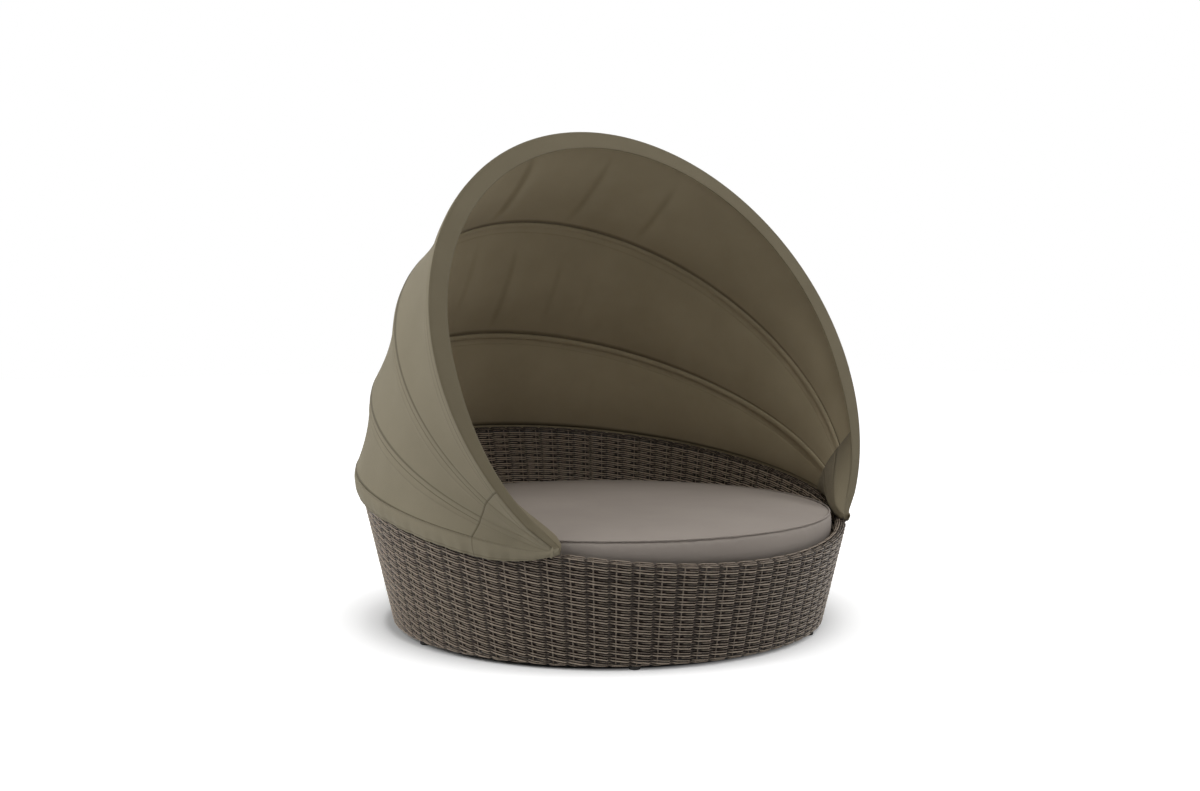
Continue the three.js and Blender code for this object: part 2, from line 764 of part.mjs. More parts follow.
function buildCushion() {
  const foot = deckHeight + touchGap;
  const footRadius = onWall(0, -wallThickness - cushionClearance, deckHeight).setZ(0).length();
  const seamRadius = footRadius + cushionSeamOut;
  const seam = foot + cushionHeight;
  const side = spread(6, 0, 1).map((t) => [
    THREE.MathUtils.lerp(footRadius, seamRadius, t) + cushionBulge * Math.sin(Math.PI * t),
    THREE.MathUtils.lerp(foot + cushionFootRise, seam, t),
  ]);
  const piping = spread(3, -Math.PI / 4, (3 * Math.PI) / 4).map((a) => [
    seamRadius + cushionEdgeRadius * Math.cos(a),
    seam + cushionEdgeRadius * (1 + Math.sin(a)),
  ]);
  const topShares = [0.96, 0.88, 0.74, 0.55, 0.3];
  const crown = topShares.map((share) => [
    seamRadius * share,
    seam + cushionEdgeRadius + cushionCrown * (1 - share ** 4),
  ]);
  const profile = [
    [0, foot],
    [footRadius - cushionFootRise, foot],
    ...side,
    ...piping,
    ...crown,
    [0, seam + cushionEdgeRadius + cushionCrown],
  ];
  place("cushion", turned(profile, cushionSides), finish(colours.cushion, 0.95, 0));
}

function buildGlides() {
  const rubber = finish(colours.rubber, 0.8, 0);
  const profile = [
    [0, 0],
    [glideRadius - glideChamfer, 0],
    [glideRadius, glideChamfer],
    [glideRadius, glideHeight - touchGap],
    [0, glideHeight - touchGap],
  ];
  const ring = baseRadius - glideRadius - lowerCornerRadius / 2;
  for (let i = 0; i < glideCount; i++) {
    const phi = ((i + 1 / 2) * 2 * Math.PI) / glideCount;
    const glide = place(`glide_${i + 1}`, turned(profile, roundSides), rubber);
    glide.position.set(ring * Math.sin(phi), -ring * Math.cos(phi), 0);
  }
}

buildFrame();
buildWall();
buildSeat();
buildCushion();
buildGlides();
buildPivots();
buildBows();
buildCanopy();

// The base's middle is set so that the origin lies below the middle of the whole daybed.
daybed.updateMatrixWorld(true);
const bounds = new THREE.Box3().setFromObject(daybed);
daybed.position.y = -(bounds.min.y + bounds.max.y) / 2;

export default daybed;
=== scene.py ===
import math
import bmesh
import bpy
import numpy as np
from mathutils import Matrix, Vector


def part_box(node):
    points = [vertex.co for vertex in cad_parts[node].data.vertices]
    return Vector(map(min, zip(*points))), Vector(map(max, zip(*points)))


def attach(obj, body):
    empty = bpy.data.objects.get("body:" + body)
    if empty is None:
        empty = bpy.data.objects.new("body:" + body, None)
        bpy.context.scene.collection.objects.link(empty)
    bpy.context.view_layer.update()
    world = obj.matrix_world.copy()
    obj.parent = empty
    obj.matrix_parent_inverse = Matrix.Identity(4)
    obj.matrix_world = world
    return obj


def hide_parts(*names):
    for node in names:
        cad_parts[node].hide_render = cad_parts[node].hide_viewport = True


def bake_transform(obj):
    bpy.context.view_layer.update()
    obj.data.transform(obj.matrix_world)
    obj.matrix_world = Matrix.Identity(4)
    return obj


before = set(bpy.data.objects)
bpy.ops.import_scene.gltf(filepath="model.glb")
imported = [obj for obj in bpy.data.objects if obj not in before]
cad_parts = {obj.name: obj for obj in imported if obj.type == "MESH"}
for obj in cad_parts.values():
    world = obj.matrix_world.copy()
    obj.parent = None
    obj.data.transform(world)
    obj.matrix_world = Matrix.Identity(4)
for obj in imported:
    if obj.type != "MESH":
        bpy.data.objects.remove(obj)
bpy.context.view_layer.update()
print("stage: frame loaded")

degree = math.pi / 180
metre = 0.001  # sizes below are in millimetres, and meshes in metres
deckLow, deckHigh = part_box("seat_deck")
baseMiddleY = (deckLow.y + deckHigh.y) / 2
draws = np.random.default_rng(41)

# Sizes that the wall, rim and canopy share, in millimetres
body = dict(
    foot=12, radius=767, flareDeg=13.2, thickness=34, rim=468, slopeDeg=10.19,
    footCorner=14, proud=0.5, borderThickness=5, borderDepth=15, borderCorner=8,
    touchGap=0.3, tubeRadius=11,
)
flare = math.tan(body["flareDeg"] * degree)
rimSlope = math.tan(body["slopeDeg"] * degree)
wallMiddle = -body["thickness"] / 2


# Camera at the photograph's place
view = dict(
    place=(-2.6018, -3.5841, 0.9949), panDeg=35.935, tiltDeg=-2.567, lens=36.538,
    sensorWidth=36, farthest=100,
)


def makeCamera():
    data = bpy.data.cameras.new("camera")
    data.lens = view["lens"]
    data.sensor_width = view["sensorWidth"]
    data.sensor_fit = "HORIZONTAL"
    data.clip_end = view["farthest"]
    camera = bpy.data.objects.new("camera", data)
    camera.location = view["place"]
    camera.rotation_euler = ((90 + view["tiltDeg"]) * degree, 0, -view["panDeg"] * degree)
    bpy.context.collection.objects.link(camera)
    bpy.context.scene.camera = camera


makeCamera()
print("stage: camera")


# Points on the wall and rim


def stack(x, y, z):
    return np.stack(np.broadcast_arrays(x, y, z), axis=-1).astype(float)


# A point near the sloping rim: a cone of radius (radius + flare * height + out) is cut by the
# plane z = rim + slope * y + up, at the angle phi from the front towards +X.
def onRim(phi, out, up):
    level = body["radius"] + flare * (body["rim"] + up - body["foot"]) + out
    r = level / (1 + flare * rimSlope * np.cos(phi))
    y = -r * np.cos(phi)
    return stack(r * np.sin(phi), y, body["rim"] + rimSlope * y + up)


def smooth(low, high, value):
    t = np.clip((value - low) / (high - low), 0, 1)
    return t * t * (3 - 2 * t)


# Even steps round a full turn, without the last, which is the first again.
def fullTurn(steps):
    return np.linspace(0, 2 * math.pi, steps + 1)[:-1]


def toFrame(points):
    return points * metre + np.array([0, baseMiddleY, 0])


# Meshes

collection = bpy.context.collection
sameWithin = 0.00005  # points that lie this near to each other, in metres, are one


# Puts an array of points and an array of four-sided faces into a new mesh object.
def makePiece(name, points, quads, uv=None, flat=False):
    mesh = bpy.data.meshes.new(name)
    points = np.ascontiguousarray(points.reshape(-1, 3), dtype=np.float32)
    quads = np.ascontiguousarray(quads.reshape(-1, 4), dtype=np.int32)
    mesh.vertices.add(len(points))
    mesh.vertices.foreach_set("co", points.ravel())
    mesh.loops.add(quads.size)
    mesh.loops.foreach_set("vertex_index", quads.ravel())
    mesh.polygons.add(len(quads))
    mesh.polygons.foreach_set("loop_start", np.arange(0, quads.size, 4, dtype=np.int32))
    mesh.update(calc_edges=True)
    mesh.polygons.foreach_set("use_smooth", np.full(len(quads), not flat))
    if uv is not None:
        layer = mesh.uv_layers.new(name="cloth")
        layer.data.foreach_set("uv", np.ascontiguousarray(uv[quads.ravel()], dtype=np.float32).ravel())
    piece = bpy.data.objects.new(name, mesh)
    collection.objects.link(piece)
    return piece


# Joins the points of a pole or seam that lie on each other.
def joinDoubles(piece):
    shape = bmesh.new()
    shape.from_mesh(piece.data)
    bmesh.ops.remove_doubles(shape, verts=shape.verts, dist=sameWithin)
    shape.to_mesh(piece.data)
    shape.free()
    return piece


def setValues(piece, name, values):
    attribute = piece.data.attributes.new(name, "FLOAT", "POINT")
    attribute.data.foreach_set("value", np.ascontiguousarray(values, dtype=np.float32).ravel())


# Faces between the neighbours of a grid of rows by columns, numbered row after row.
def gridFaces(rows, columns, rowsClosed=False, columnsClosed=False):
    i = np.arange(rows if rowsClosed else rows - 1)[:, None]
    j = np.arange(columns if columnsClosed else columns - 1)[None, :]
    below, right = (i + 1) % rows, (j + 1) % columns
    corners = [i * columns + j, i * columns + right, below * columns + right, below * columns + j]
    return np.stack(np.broadcast_arrays(*corners), axis=-1).reshape(-1, 4)


# Gives a sheet its second face, on the side that its normals look away from.
def thicken(piece, thickness):
    layer = piece.modifiers.new("thickness", "SOLIDIFY")
    layer.thickness = thickness * metre
    layer.offset = -1
    layer.use_even_offset = False


# Materials


def startMaterial(name, roughness, specular=0.5):
    material = bpy.data.materials.new(name)
    material.use_nodes = True
    tree = material.node_tree
    shader = tree.nodes["Principled BSDF"]
    shader.inputs["Roughness"].default_value = roughness
    shader.inputs["Specular IOR Level"].default_value = specular
    return material, tree, shader


def addNode(tree, kind, **values):
    node = tree.nodes.new(kind)
    for key, value in values.items():
        if key in node.inputs:
            node.inputs[key].default_value = value
        else:
            setattr(node, key, value)
    return node


def rampBetween(tree, factor, stops):
    ramp = tree.nodes.new("ShaderNodeValToRGB")
    while len(ramp.color_ramp.elements) < len(stops):
        ramp.color_ramp.elements.new(0.5)
    for element, (position, colour) in zip(ramp.color_ramp.elements, stops):
        element.position = position
        element.color = (*colour, 1)
    tree.links.new(factor, ramp.inputs[0])
    return ramp.outputs[0]


# Noise in the piece's own place, so it doesn't depend on the cloth's coordinates.
def addNoise(tree, place, **values):
    noise = addNode(tree, "ShaderNodeTexNoise", **values)
    tree.links.new(place.outputs["Object"], noise.inputs["Vector"])
    return noise.outputs["Fac"]


def addBump(tree, shader, height, strength, distance):
    bump = addNode(tree, "ShaderNodeBump", Strength=strength, Distance=distance)
    tree.links.new(height, bump.inputs["Height"])
    tree.links.new(bump.outputs[0], shader.inputs["Normal"])


def blendValues(tree, a, b, operation="MULTIPLY"):
    node = addNode(tree, "ShaderNodeMath", operation=operation)
    for socket, value in zip(node.inputs, (a, b)):
        if isinstance(value, (int, float)):
            socket.default_value = value
        else:
            tree.links.new(value, socket)
    return node.outputs[0]


# Half-round synthetic strand: each strand has its own tone, with streaks and faint grooves.
strandLook = dict(
    roughness=0.45, shine=0.28, streaks=110, grooves=420, darkAt=0.22, lightAt=0.78,
    grooveStrength=0.25, grooveDepth=0.0006,
)


def makeStrandMaterial(name, dark, light):
    look = strandLook
    material, tree, shader = startMaterial(name, look["roughness"], look["shine"])
    tone = addNode(tree, "ShaderNodeAttribute", attribute_name="tone")
    place = addNode(tree, "ShaderNodeTexCoord")
    streak = addNoise(tree, place, Scale=look["streaks"], Detail=3, Roughness=0.6)
    mixed = blendValues(tree, tone.outputs["Fac"], streak, "ADD")
    half = blendValues(tree, mixed, 0.5)
    colour = rampBetween(tree, half, [(look["darkAt"], dark), (look["lightAt"], light)])
    tree.links.new(colour, shader.inputs["Base Color"])
    grooves = addNoise(tree, place, Scale=look["grooves"], Detail=2)
    addBump(tree, shader, grooves, look["grooveStrength"], look["grooveDepth"])
    return material


# Painted light on the canopy's inner faces: how far a face's normal must look back to the middle, and how
# much lighter it is painted there
insidePaintedLight = dict(centre=(0, 0.05, 0.75), outside=0.05, inside=-0.15, lift=(1.70, 1.64, 1.57))


# Painted light: the inner faces are painted lighter, where the surface's normal looks back to the canopy's
# middle, standing in for light that the inside lacks.
def paintLightInside(tree, place, colour):
    away = addNode(tree, "ShaderNodeVectorMath", operation="SUBTRACT")
    tree.links.new(place.outputs["Object"], away.inputs[0])
    away.inputs[1].default_value = insidePaintedLight["centre"]
    facing = addNode(tree, "ShaderNodeVectorMath", operation="DOT_PRODUCT")
    tree.links.new(place.outputs["Normal"], facing.inputs[0])
    tree.links.new(away.outputs[0], facing.inputs[1])
    inside = addNode(tree, "ShaderNodeMapRange")
    inside.inputs["From Min"].default_value = insidePaintedLight["outside"]
    inside.inputs["From Max"].default_value = insidePaintedLight["inside"]
    tree.links.new(facing.outputs["Value"], inside.inputs["Value"])
    paler = addNode(tree, "ShaderNodeMix", data_type="RGBA", blend_type="MIX")
    paler.inputs[6].default_value = (1, 1, 1, 1)
    paler.inputs[7].default_value = (*insidePaintedLight["lift"], 1)
    tree.links.new(inside.outputs[0], paler.inputs[0])
    product = addNode(tree, "ShaderNodeVectorMath", operation="MULTIPLY")
    tree.links.new(colour, product.inputs[0])
    tree.links.new(paler.outputs[2], product.inputs[1])
    return product.outputs[0]


# Coated canvas: a plain weave of yarns along the cloth's own UV, with slow changes of tone. A seam
# is a dark line, the same mark paints shade into the panels' creases, and a stitch line is a row of short
# dashes along the cloth's length.
clothLook = dict(
    roughness=0.85, shine=0.2, sheen=0.06, sheenRoughness=0.6, darkAt=0.3, lightAt=0.7,
    yarn=0.0011, yarnTone=0.12, yarnStrength=0.35, yarnDepth=0.00025,  # lengths in metres
    stitchPitch=0.0045, stitchGap=0.4, seamTint=(0.42, 0.40, 0.36),
)


def makeClothMaterial(name, dark, light, withPaintedLight=False):
    look = clothLook
    material, tree, shader = startMaterial(name, look["roughness"], look["shine"])
    shader.inputs["Sheen Weight"].default_value = look["sheen"]
    shader.inputs["Sheen Roughness"].default_value = look["sheenRoughness"]
    place = addNode(tree, "ShaderNodeTexCoord")
    slow = addNoise(tree, place, Scale=3.5, Detail=4, Roughness=0.55)
    split = addNode(tree, "ShaderNodeSeparateXYZ")
    tree.links.new(place.outputs["UV"], split.inputs[0])
    waves = []
    for axis in ("X", "Y"):
        turn = blendValues(tree, split.outputs[axis], 2 * math.pi / look["yarn"])
        wave = addNode(tree, "ShaderNodeMath", operation="SINE")
        tree.links.new(turn, wave.inputs[0])
        waves.append(wave.outputs[0])
    weave = blendValues(tree, *waves)
    lift = blendValues(tree, weave, look["yarnTone"])
    tone = blendValues(tree, slow, lift, "ADD")
    colour = rampBetween(tree, tone, [(look["darkAt"], dark), (look["lightAt"], light)])
    seam = addNode(tree, "ShaderNodeAttribute", attribute_name="seam")
    stitch = addNode(tree, "ShaderNodeAttribute", attribute_name="stitch")
    dash = blendValues(tree, blendValues(tree, split.outputs["X"], 1 / look["stitchPitch"]), 1.0, "MODULO")
    dash = blendValues(tree, dash, look["stitchGap"], "GREATER_THAN")
    shade = blendValues(tree, seam.outputs["Fac"], blendValues(tree, stitch.outputs["Fac"], dash), "MAXIMUM")
    # painted light: the inner faces are painted lighter
    if withPaintedLight:
        colour = paintLightInside(tree, place, colour)
    shaded = addNode(tree, "ShaderNodeMix", data_type="RGBA", blend_type="MULTIPLY")
    tree.links.new(shade, shaded.inputs[0])
    tree.links.new(colour, shaded.inputs[6])
    shaded.inputs[7].default_value = (*look["seamTint"], 1)
    tree.links.new(shaded.outputs[2], shader.inputs["Base Color"])
    addBump(tree, shader, weave, look["yarnStrength"], look["yarnDepth"])
    return material


# Powder coat or a moulded surface: one tone with a fine peel and slow changes.
paintLook = dict(
    slow=9, low=0.82, high=1.18, lowAt=0.3, highAt=0.7, peelStrength=0.2, peelDepth=0.0004,
)


def makePaint(name, colour, roughness, metallic=0.0, grain=260, specular=0.5):
    look = paintLook
    material, tree, shader = startMaterial(name, roughness, specular)
    shader.inputs["Metallic"].default_value = metallic
    place = addNode(tree, "ShaderNodeTexCoord")
    slow = addNoise(tree, place, Scale=look["slow"], Detail=5)
    low = tuple(look["low"] * c for c in colour)
    high = tuple(min(1, look["high"] * c) for c in colour)
    tone = rampBetween(tree, slow, [(look["lowAt"], low), (look["highAt"], high)])
    tree.links.new(tone, shader.inputs["Base Color"])
    peel = addNoise(tree, place, Scale=grain, Detail=2)
    addBump(tree, shader, peel, look["peelStrength"], look["peelDepth"])
    return material


strandMaterial = makeStrandMaterial("strands", (0.024, 0.0155, 0.0105), (0.425, 0.345, 0.268))
stakeMaterial = makeStrandMaterial("stakes", (0.024, 0.0155, 0.0105), (0.36, 0.292, 0.227))
shadeMaterial = makePaint("shade behind the weave", (0.024, 0.0155, 0.011), 0.9, specular=0.05)
clothMaterial = makeClothMaterial("canopy cloth", (0.222, 0.193, 0.131), (0.252, 0.221, 0.153), True)
facingMaterial = makeClothMaterial("facing cloth", (0.158, 0.133, 0.084), (0.178, 0.151, 0.097))
liningMaterial = makeClothMaterial("lining cloth", (0.190, 0.160, 0.103), (0.212, 0.179, 0.116))
cushionMaterial = makeClothMaterial("cushion cloth", (0.340, 0.296, 0.262), (0.372, 0.326, 0.289))
frameMaterial = makePaint("dark powder coat", (0.044, 0.040, 0.036), 0.5, 0.3)
bowMaterial = makePaint("bow powder coat", (0.159, 0.141, 0.107), 0.5, 0.2)
steelMaterial = makePaint("satin steel", (0.55, 0.55, 0.53), 0.32, 1.0, 600)
rubberMaterial = makePaint("rubber", (0.016, 0.015, 0.014), 0.75)
deckMaterial = makePaint("deck board", (0.069, 0.058, 0.050), 0.8, 0.0, 90)
print("stage: materials")


# Weave of the wall: one pattern of strands runs up the outside, over the rim and down the inside.
# Three strands repeat downwards: long (over the stub stakes), under (behind them) and short (over).
weave = dict(
    columns=76, columnShift=0.405, pitch=8.183, strandWidth=5.7, strandThickness=2.4,
    stakeShare=0.31, stubWidth=4.6, seamWidth=7.0, stakeThickness=1.6, stubOut=-3.4, seamOut=-6.4,
    # places across a column, and how far each kind of strand stands out there
    places=(0.0, 0.10, 0.20, 0.31, 0.42, 0.56, 0.89),
    longOut=(-5.8, -2.0, -0.9, -0.4, -0.6, -0.8, -0.8),
    underOut=(-3.4, -3.0, -4.0, -6.4, -6.4, -2.8, -2.4),
    shortOut=(-5.8, -2.4, -1.5, -0.9, -1.2, -1.5, -1.5),
    droop=(0.0, -0.9, -0.6, -0.3, 0.0, 0.4, 1.1),
    # painted light and shade of the three kinds at those places: painted shade in the seams and beside the
    # stub stakes, where strands dip and lie deep, and lighter where they stand out
    longLightAndShade=(-0.3, 0.15, 0.3, 0.45, 0.6, 0.6, 0.5),
    underLightAndShade=(-0.5, -0.5, -0.9, -1.3, -1.2, -0.1, -0.05),
    shortLightAndShade=(-0.5, -0.2, 0.05, 0.2, 0.05, 0.05, 0.0),
    wobble=0.22, shadeSheetDepth=7.5, shadeSheetThickness=0.8, shadeSheetSteps=9,
    shoulderShare=0.55, stakeShoulderShare=0.6, stakeOver=2,
    # strands' own tones lie between the first two, and wander by the third; the seam stakes' tone is painted
    # shade, as they lie deep in the seams
    baseTone=(0.08, 0.32, 0.12), innerPaler=0.45, stubTone=0.55, seamTone=-1.1,
    # how many strands there are: the outer ones, the upper part of them, the border's and the inner ones
    outerRows=75, upperRows=32, borderRows=7, innerRows=46,
    # heights where strands, stakes and the painted-shade sheet end, outside and inside
    strandEnds=(-10, 254), stakeEnds=(-8, 256), shadeSheetEnds=(20, 258),
    # painted light and shade across each strand: its upper side is painted lighter and its lower side darker,
    # as light from above falls on a round strand
    sectionLightAndShade=(-1.1, -0.65, 0.6, 0.25),
)


# The outer skin: v is the drop from the rim's top down the cone. Below the start of the foot's
# round corner the drop runs round a quarter circle and then inwards.
def outerSkin(phi, v, out):
    point = onRim(phi, out, -v)
    corner = body["footCorner"]
    start = body["foot"] + corner
    below = np.maximum(start - point[..., 2], 0)
    turn = np.minimum(below / corner, math.pi / 2)
    run = np.maximum(below - corner * math.pi / 2, 0)
    r = body["radius"] + flare * corner - corner + (corner + out) * np.cos(turn) - run
    z = start - (corner + out) * np.sin(turn)
    bent = stack(r * np.sin(phi), -r * np.cos(phi), z)
    return np.where((below > 0)[..., None], bent, point)


# The inner skin: the same drop on the inside face, where out points to the middle.
def innerSkin(phi, v, out):
    return onRim(phi, -body["thickness"] - out, -v)


borderHalf = body["thickness"] / 2 + body["proud"]
borderFlat = borderHalf - body["borderCorner"]
borderArc = body["borderCorner"] * math.pi / 2
borderRun = 2 * (body["borderDepth"] - body["borderCorner"] + borderArc + borderFlat)


# The border's skin: v is the way up the outer side, round a corner, over the top and down again.
def borderSkin(phi, v, out):
    fromTop = v - borderRun / 2
    s = np.abs(fromTop)
    turn = np.clip((s - borderFlat) / body["borderCorner"], 0, math.pi / 2)
    reach = body["borderCorner"] + out
    across = np.minimum(s, borderFlat) + reach * np.sin(turn)
    up = -body["borderCorner"] + reach * np.cos(turn) - np.maximum(s - borderFlat - borderArc, 0)
    return onRim(phi, wallMiddle - np.sign(fromTop) * across, up)


# Faces of four-sided tubes that run round the base. They are left out where kept is false, and
# each end of a kept stretch gets a cap.
def makeTubes(name, points, kept, tone, loop):
    lines, samples, corners = points.shape[:3]
    index = np.arange(lines * samples * corners).reshape(lines, samples, corners)
    following = np.roll(index, -1, axis=1)
    linked = kept & np.roll(kept, -1, axis=1)
    if not loop:
        linked[:, -1] = False
    sides = np.stack(
        [index, following, np.roll(following, -1, axis=2), np.roll(index, -1, axis=2)], axis=-1
    )[linked]
    ends = linked & ~np.roll(linked, -1, axis=1)
    starts = linked & ~np.roll(linked, 1, axis=1)
    quads = np.concatenate([sides.reshape(-1, 4), following[ends][:, ::-1], index[starts]])
    used, quads = np.unique(quads, return_inverse=True)
    piece = makePiece(name, toFrame(points.reshape(-1, 3)[used]), quads.reshape(-1, 4))
    setValues(piece, "tone", np.broadcast_to(tone, points.shape[:3]).reshape(-1)[used])
    return piece


# Strands: each runs round at its own place v on the skin, and dips behind the seam stakes or the
# stub stakes by its kind. Its section is a half round across v. Strands are numbered from the rim,
# down the outside from 0, and over the border and down the inside from -1.
def makeStrands(name, skin, numbers, start, step, lowest, paler):
    count = weave["columns"]
    columns = np.arange(count)[:, None] + weave["columnShift"]
    phi = ((columns + np.array(weave["places"])) * 2 * math.pi / count).ravel()
    direction = int(np.sign(numbers[1] - numbers[0]))
    order = (numbers - numbers[0]) * direction
    kind = (numbers + 2) % 3
    shapes = np.array([weave["longOut"], weave["underOut"], weave["shortOut"]])[kind]
    out = np.tile(shapes, (1, count))
    out = out + draws.normal(0, weave["wobble"], out.shape)
    line = start + step * (order + 0.5)
    droop = np.tile(np.array(weave["droop"]), count)[None, :] * direction
    v = line[:, None] + droop + draws.normal(0, weave["wobble"], out.shape)
    # painted light and shade: a strand is painted darker where it dips into a seam or behind a stub stake,
    # and lighter where it stands out
    placeLightAndShade = np.array([weave["longLightAndShade"], weave["underLightAndShade"], weave["shortLightAndShade"]])[kind]
    darkest, palest, wander = weave["baseTone"]
    base = draws.uniform(darkest, palest, len(numbers))[:, None] + np.tile(placeLightAndShade, (1, count)) + paler
    tone = base + draws.normal(0, wander, v.shape)
    # painted light and shade across the section: lighter on the strand's upper side, darker on its lower side
    tone = tone[..., None] + np.array(weave["sectionLightAndShade"])[::direction]
    half, thick = weave["strandWidth"] / 2, weave["strandThickness"] / 2
    shoulder = half * weave["shoulderShare"]
    sectionV = np.array([half, shoulder, -shoulder, -half]) * direction
    sectionOut = np.array([-thick, thick, thick, -thick])
    points = skin(phi[None, :, None], v[..., None] + sectionV, out[..., None] + sectionOut)
    kept = onRim(phi[None, :], 0, -v)[..., 2] > lowest
    return makeTubes(name, points, kept, tone, True)


# Stakes: two flat strips in every column, which follow the skin between two values of v.
def makeStakes(name, skin, vFrom, vTo, steps):
    count = weave["columns"]
    shares = np.concatenate([np.arange(count), np.arange(count) + weave["stakeShare"]]) + weave["columnShift"]
    phi = shares * 2 * math.pi / count
    isStub = np.arange(2 * count) >= count
    out = np.where(isStub, weave["stubOut"], weave["seamOut"])[:, None, None]
    half = (np.where(isStub, weave["stubWidth"], weave["seamWidth"]) / 2 / body["radius"])[:, None, None]
    thick = weave["stakeThickness"] / 2
    low, high = vFrom(phi)[:, None], vTo(phi)[:, None]
    v = low + (high - low) * np.linspace(0, 1, steps)[None, :]
    shoulder = weave["stakeShoulderShare"]
    sectionTurn = np.array([-1, -shoulder, shoulder, 1])
    sectionOut = np.array([-thick, thick, thick, -thick])
    points = skin(phi[:, None, None] + sectionTurn * half, v[..., None], out + sectionOut)
    # painted shade: the seam stakes, deep in the seams, are painted dark
    tone = np.where(isStub, weave["stubTone"], weave["seamTone"])[:, None, None]
    return makeTubes(name, points, np.ones(v.shape, bool), tone, False)


# A place on a skin that is the same all round.
def level(value):
    return lambda phi: np.full(phi.shape, float(value))


# The place on a skin that lies at a height above the floor.
def downTo(height):
    return lambda phi: onRim(phi, 0, 0)[..., 2] - height


# Gives a piece its finish, hides the nodes it stands for and hangs it on the body it rides on.
def finishPiece(piece, material, replaced=(), rides=None):
    piece.data.materials.append(material)
    if replaced:
        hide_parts(*replaced)
    if rides:
        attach(piece, rides)


skinTop = body["borderDepth"] + body["touchGap"]
pitch = weave["pitch"]
upper, outer, border = weave["upperRows"], weave["outerRows"], weave["borderRows"]
inner = -1 - border
outerEnd, innerEnd = weave["strandEnds"]
# name, skin, strand numbers, place of the first on the skin, spacing, lowest height, how much paler
# than the outside, and node
strandRuns = (
    ("outer_strands_upper", outerSkin, np.arange(upper), skinTop, pitch, outerEnd, 0, "outer_weave"),
    ("outer_strands_lower", outerSkin, np.arange(upper, outer), skinTop + pitch * upper, pitch, outerEnd, 0,
     "outer_weave"),
    ("border_strands", borderSkin, np.arange(-1, inner, -1), 0, borderRun / border, outerEnd, 0,
     "rim_border"),
    ("inner_strands", innerSkin, np.arange(inner, inner - weave["innerRows"], -1), skinTop, pitch, innerEnd,
     weave["innerPaler"], "inner_weave"),
)
for name, skin, numbers, start, step, lowest, paler, node in strandRuns:
    strands = makeStrands(name, skin, numbers, start, step, lowest, paler)
    finishPiece(strands, strandMaterial, [node], "base")

# name, skin, where it starts and ends on the skin, steps along it, and node
over = weave["stakeOver"]
outerFoot, innerFoot = weave["stakeEnds"]
stakeRuns = (
    ("outer_stakes", outerSkin, level(skinTop - over), downTo(outerFoot), 26, "outer_weave"),
    ("border_stakes", borderSkin, level(-over), level(borderRun + over), 15, "rim_border"),
    ("inner_stakes", innerSkin, level(skinTop - over), downTo(innerFoot), 8, "inner_weave"),
)
for name, skin, vFrom, vTo, steps, node in stakeRuns:
    stakes = makeStakes(name, skin, vFrom, vTo, steps)
    finishPiece(stakes, stakeMaterial, [node], "base")


# Painted shade behind the strands: a plain dark sheet just under each skin, closed by its own thickness.
def makeShadeSheet(name, skin, lowest, node):
    phi = fullTurn(weave["columns"] * 2)
    t = np.linspace(0, 1, weave["shadeSheetSteps"])[None, :]
    high = downTo(lowest)(phi)[:, None]
    points = skin(phi[:, None], skinTop + (high - skinTop) * t, -weave["shadeSheetDepth"])
    quads = gridFaces(len(phi), t.shape[1], True, False)
    quads = quads if skin is outerSkin else quads[:, ::-1]
    piece = makePiece(name, toFrame(points.reshape(-1, 3)), quads)
    thicken(piece, weave["shadeSheetThickness"])
    finishPiece(piece, shadeMaterial, [node], "base")


outerFoot, innerFoot = weave["shadeSheetEnds"]
makeShadeSheet("outer_shade_sheet", outerSkin, outerFoot, "outer_weave")
makeShadeSheet("inner_shade_sheet", innerSkin, innerFoot, "inner_weave")
print("stage: weave")


# Canopy cloth over three bows that turn about the pivot bolts
canopy = dict(
    pivotDeg=46.37, pivotRise=9, tabOut=4.4, tabThickness=5, bowWidth=16, bowThickness=4, bowPitch=5.5,
    bowOverRim=1.8, centreBack=40, anglesDeg=(65.94, 46.27, 25.77), slotThickness=2.5,
    clothThickness=1.5, startDeg=-37.7, rimStartDeg=55.6, sagShare=0.045,
    bandWidth=64, bandEndShare=0.5, lipWidth=12, hemTop=5, fanReach=1050,
)
rimTubeUp = -body["borderThickness"] - body["touchGap"] - body["tubeRadius"]
pivotSeat = onRim(np.array(canopy["pivotDeg"] * degree), wallMiddle, rimTubeUp)
pivotPlace = np.array([0, pivotSeat[1], body["rim"] + rimSlope * pivotSeat[1] + canopy["pivotRise"]])
centreReach = -pivotSeat[1] + canopy["centreBack"]
bowRadius = onRim(np.array(math.pi), canopy["bowOverRim"], 0)[1] - canopy["centreBack"]
halfBow = canopy["bowWidth"] / 2
bowEnd = (
    pivotSeat[0] + canopy["tabOut"] + canopy["tabThickness"] / 2
    + canopy["bowPitch"] * 3 - canopy["bowThickness"] / 2
)
clothStart = canopy["startDeg"] * degree
rimStart = canopy["rimStartDeg"] * degree
clothOut = body["proud"] + body["touchGap"] + canopy["slotThickness"]
bowAngle = [d * degree for d in canopy["anglesDeg"]]
planes = bowAngle + [body["slopeDeg"] * degree]
gap = body["touchGap"]


def clothRadius(bow):
    return bowRadius + canopy["bowThickness"] / 2 + gap + canopy["slotThickness"] - bow * canopy["bowPitch"]


# Over a bow: at the angle a of its arc, depth inwards from the cloth's face, and the distance
# across, in front of the bow's middle plane, which is tilted about the pivot line.
def overBow(bow, a, depth, across):
    tilt = bowAngle[bow]
    r = clothRadius(bow) - depth
    u = centreReach + r * np.sin(a)
    y = u * math.cos(tilt) - across * math.sin(tilt)
    z = u * math.sin(tilt) + across * math.cos(tilt)
    return stack(r * np.cos(a), y, z) + pivotPlace


# The angle on the rim below the angle a of the lower bow.
def rimAngle(a):
    turn = (math.pi / 2 - a) / (math.pi / 2 - clothStart)
    return math.pi - (math.pi - rimStart) * turn


def unit(v):
    return v / np.linalg.norm(v, axis=-1, keepdims=True)


# The place at a distance from the pivots, in the plane through them at an angle.
def inPlane(angle, reach):
    return pivotPlace + np.array([0, math.cos(angle), math.sin(angle)]) * reach


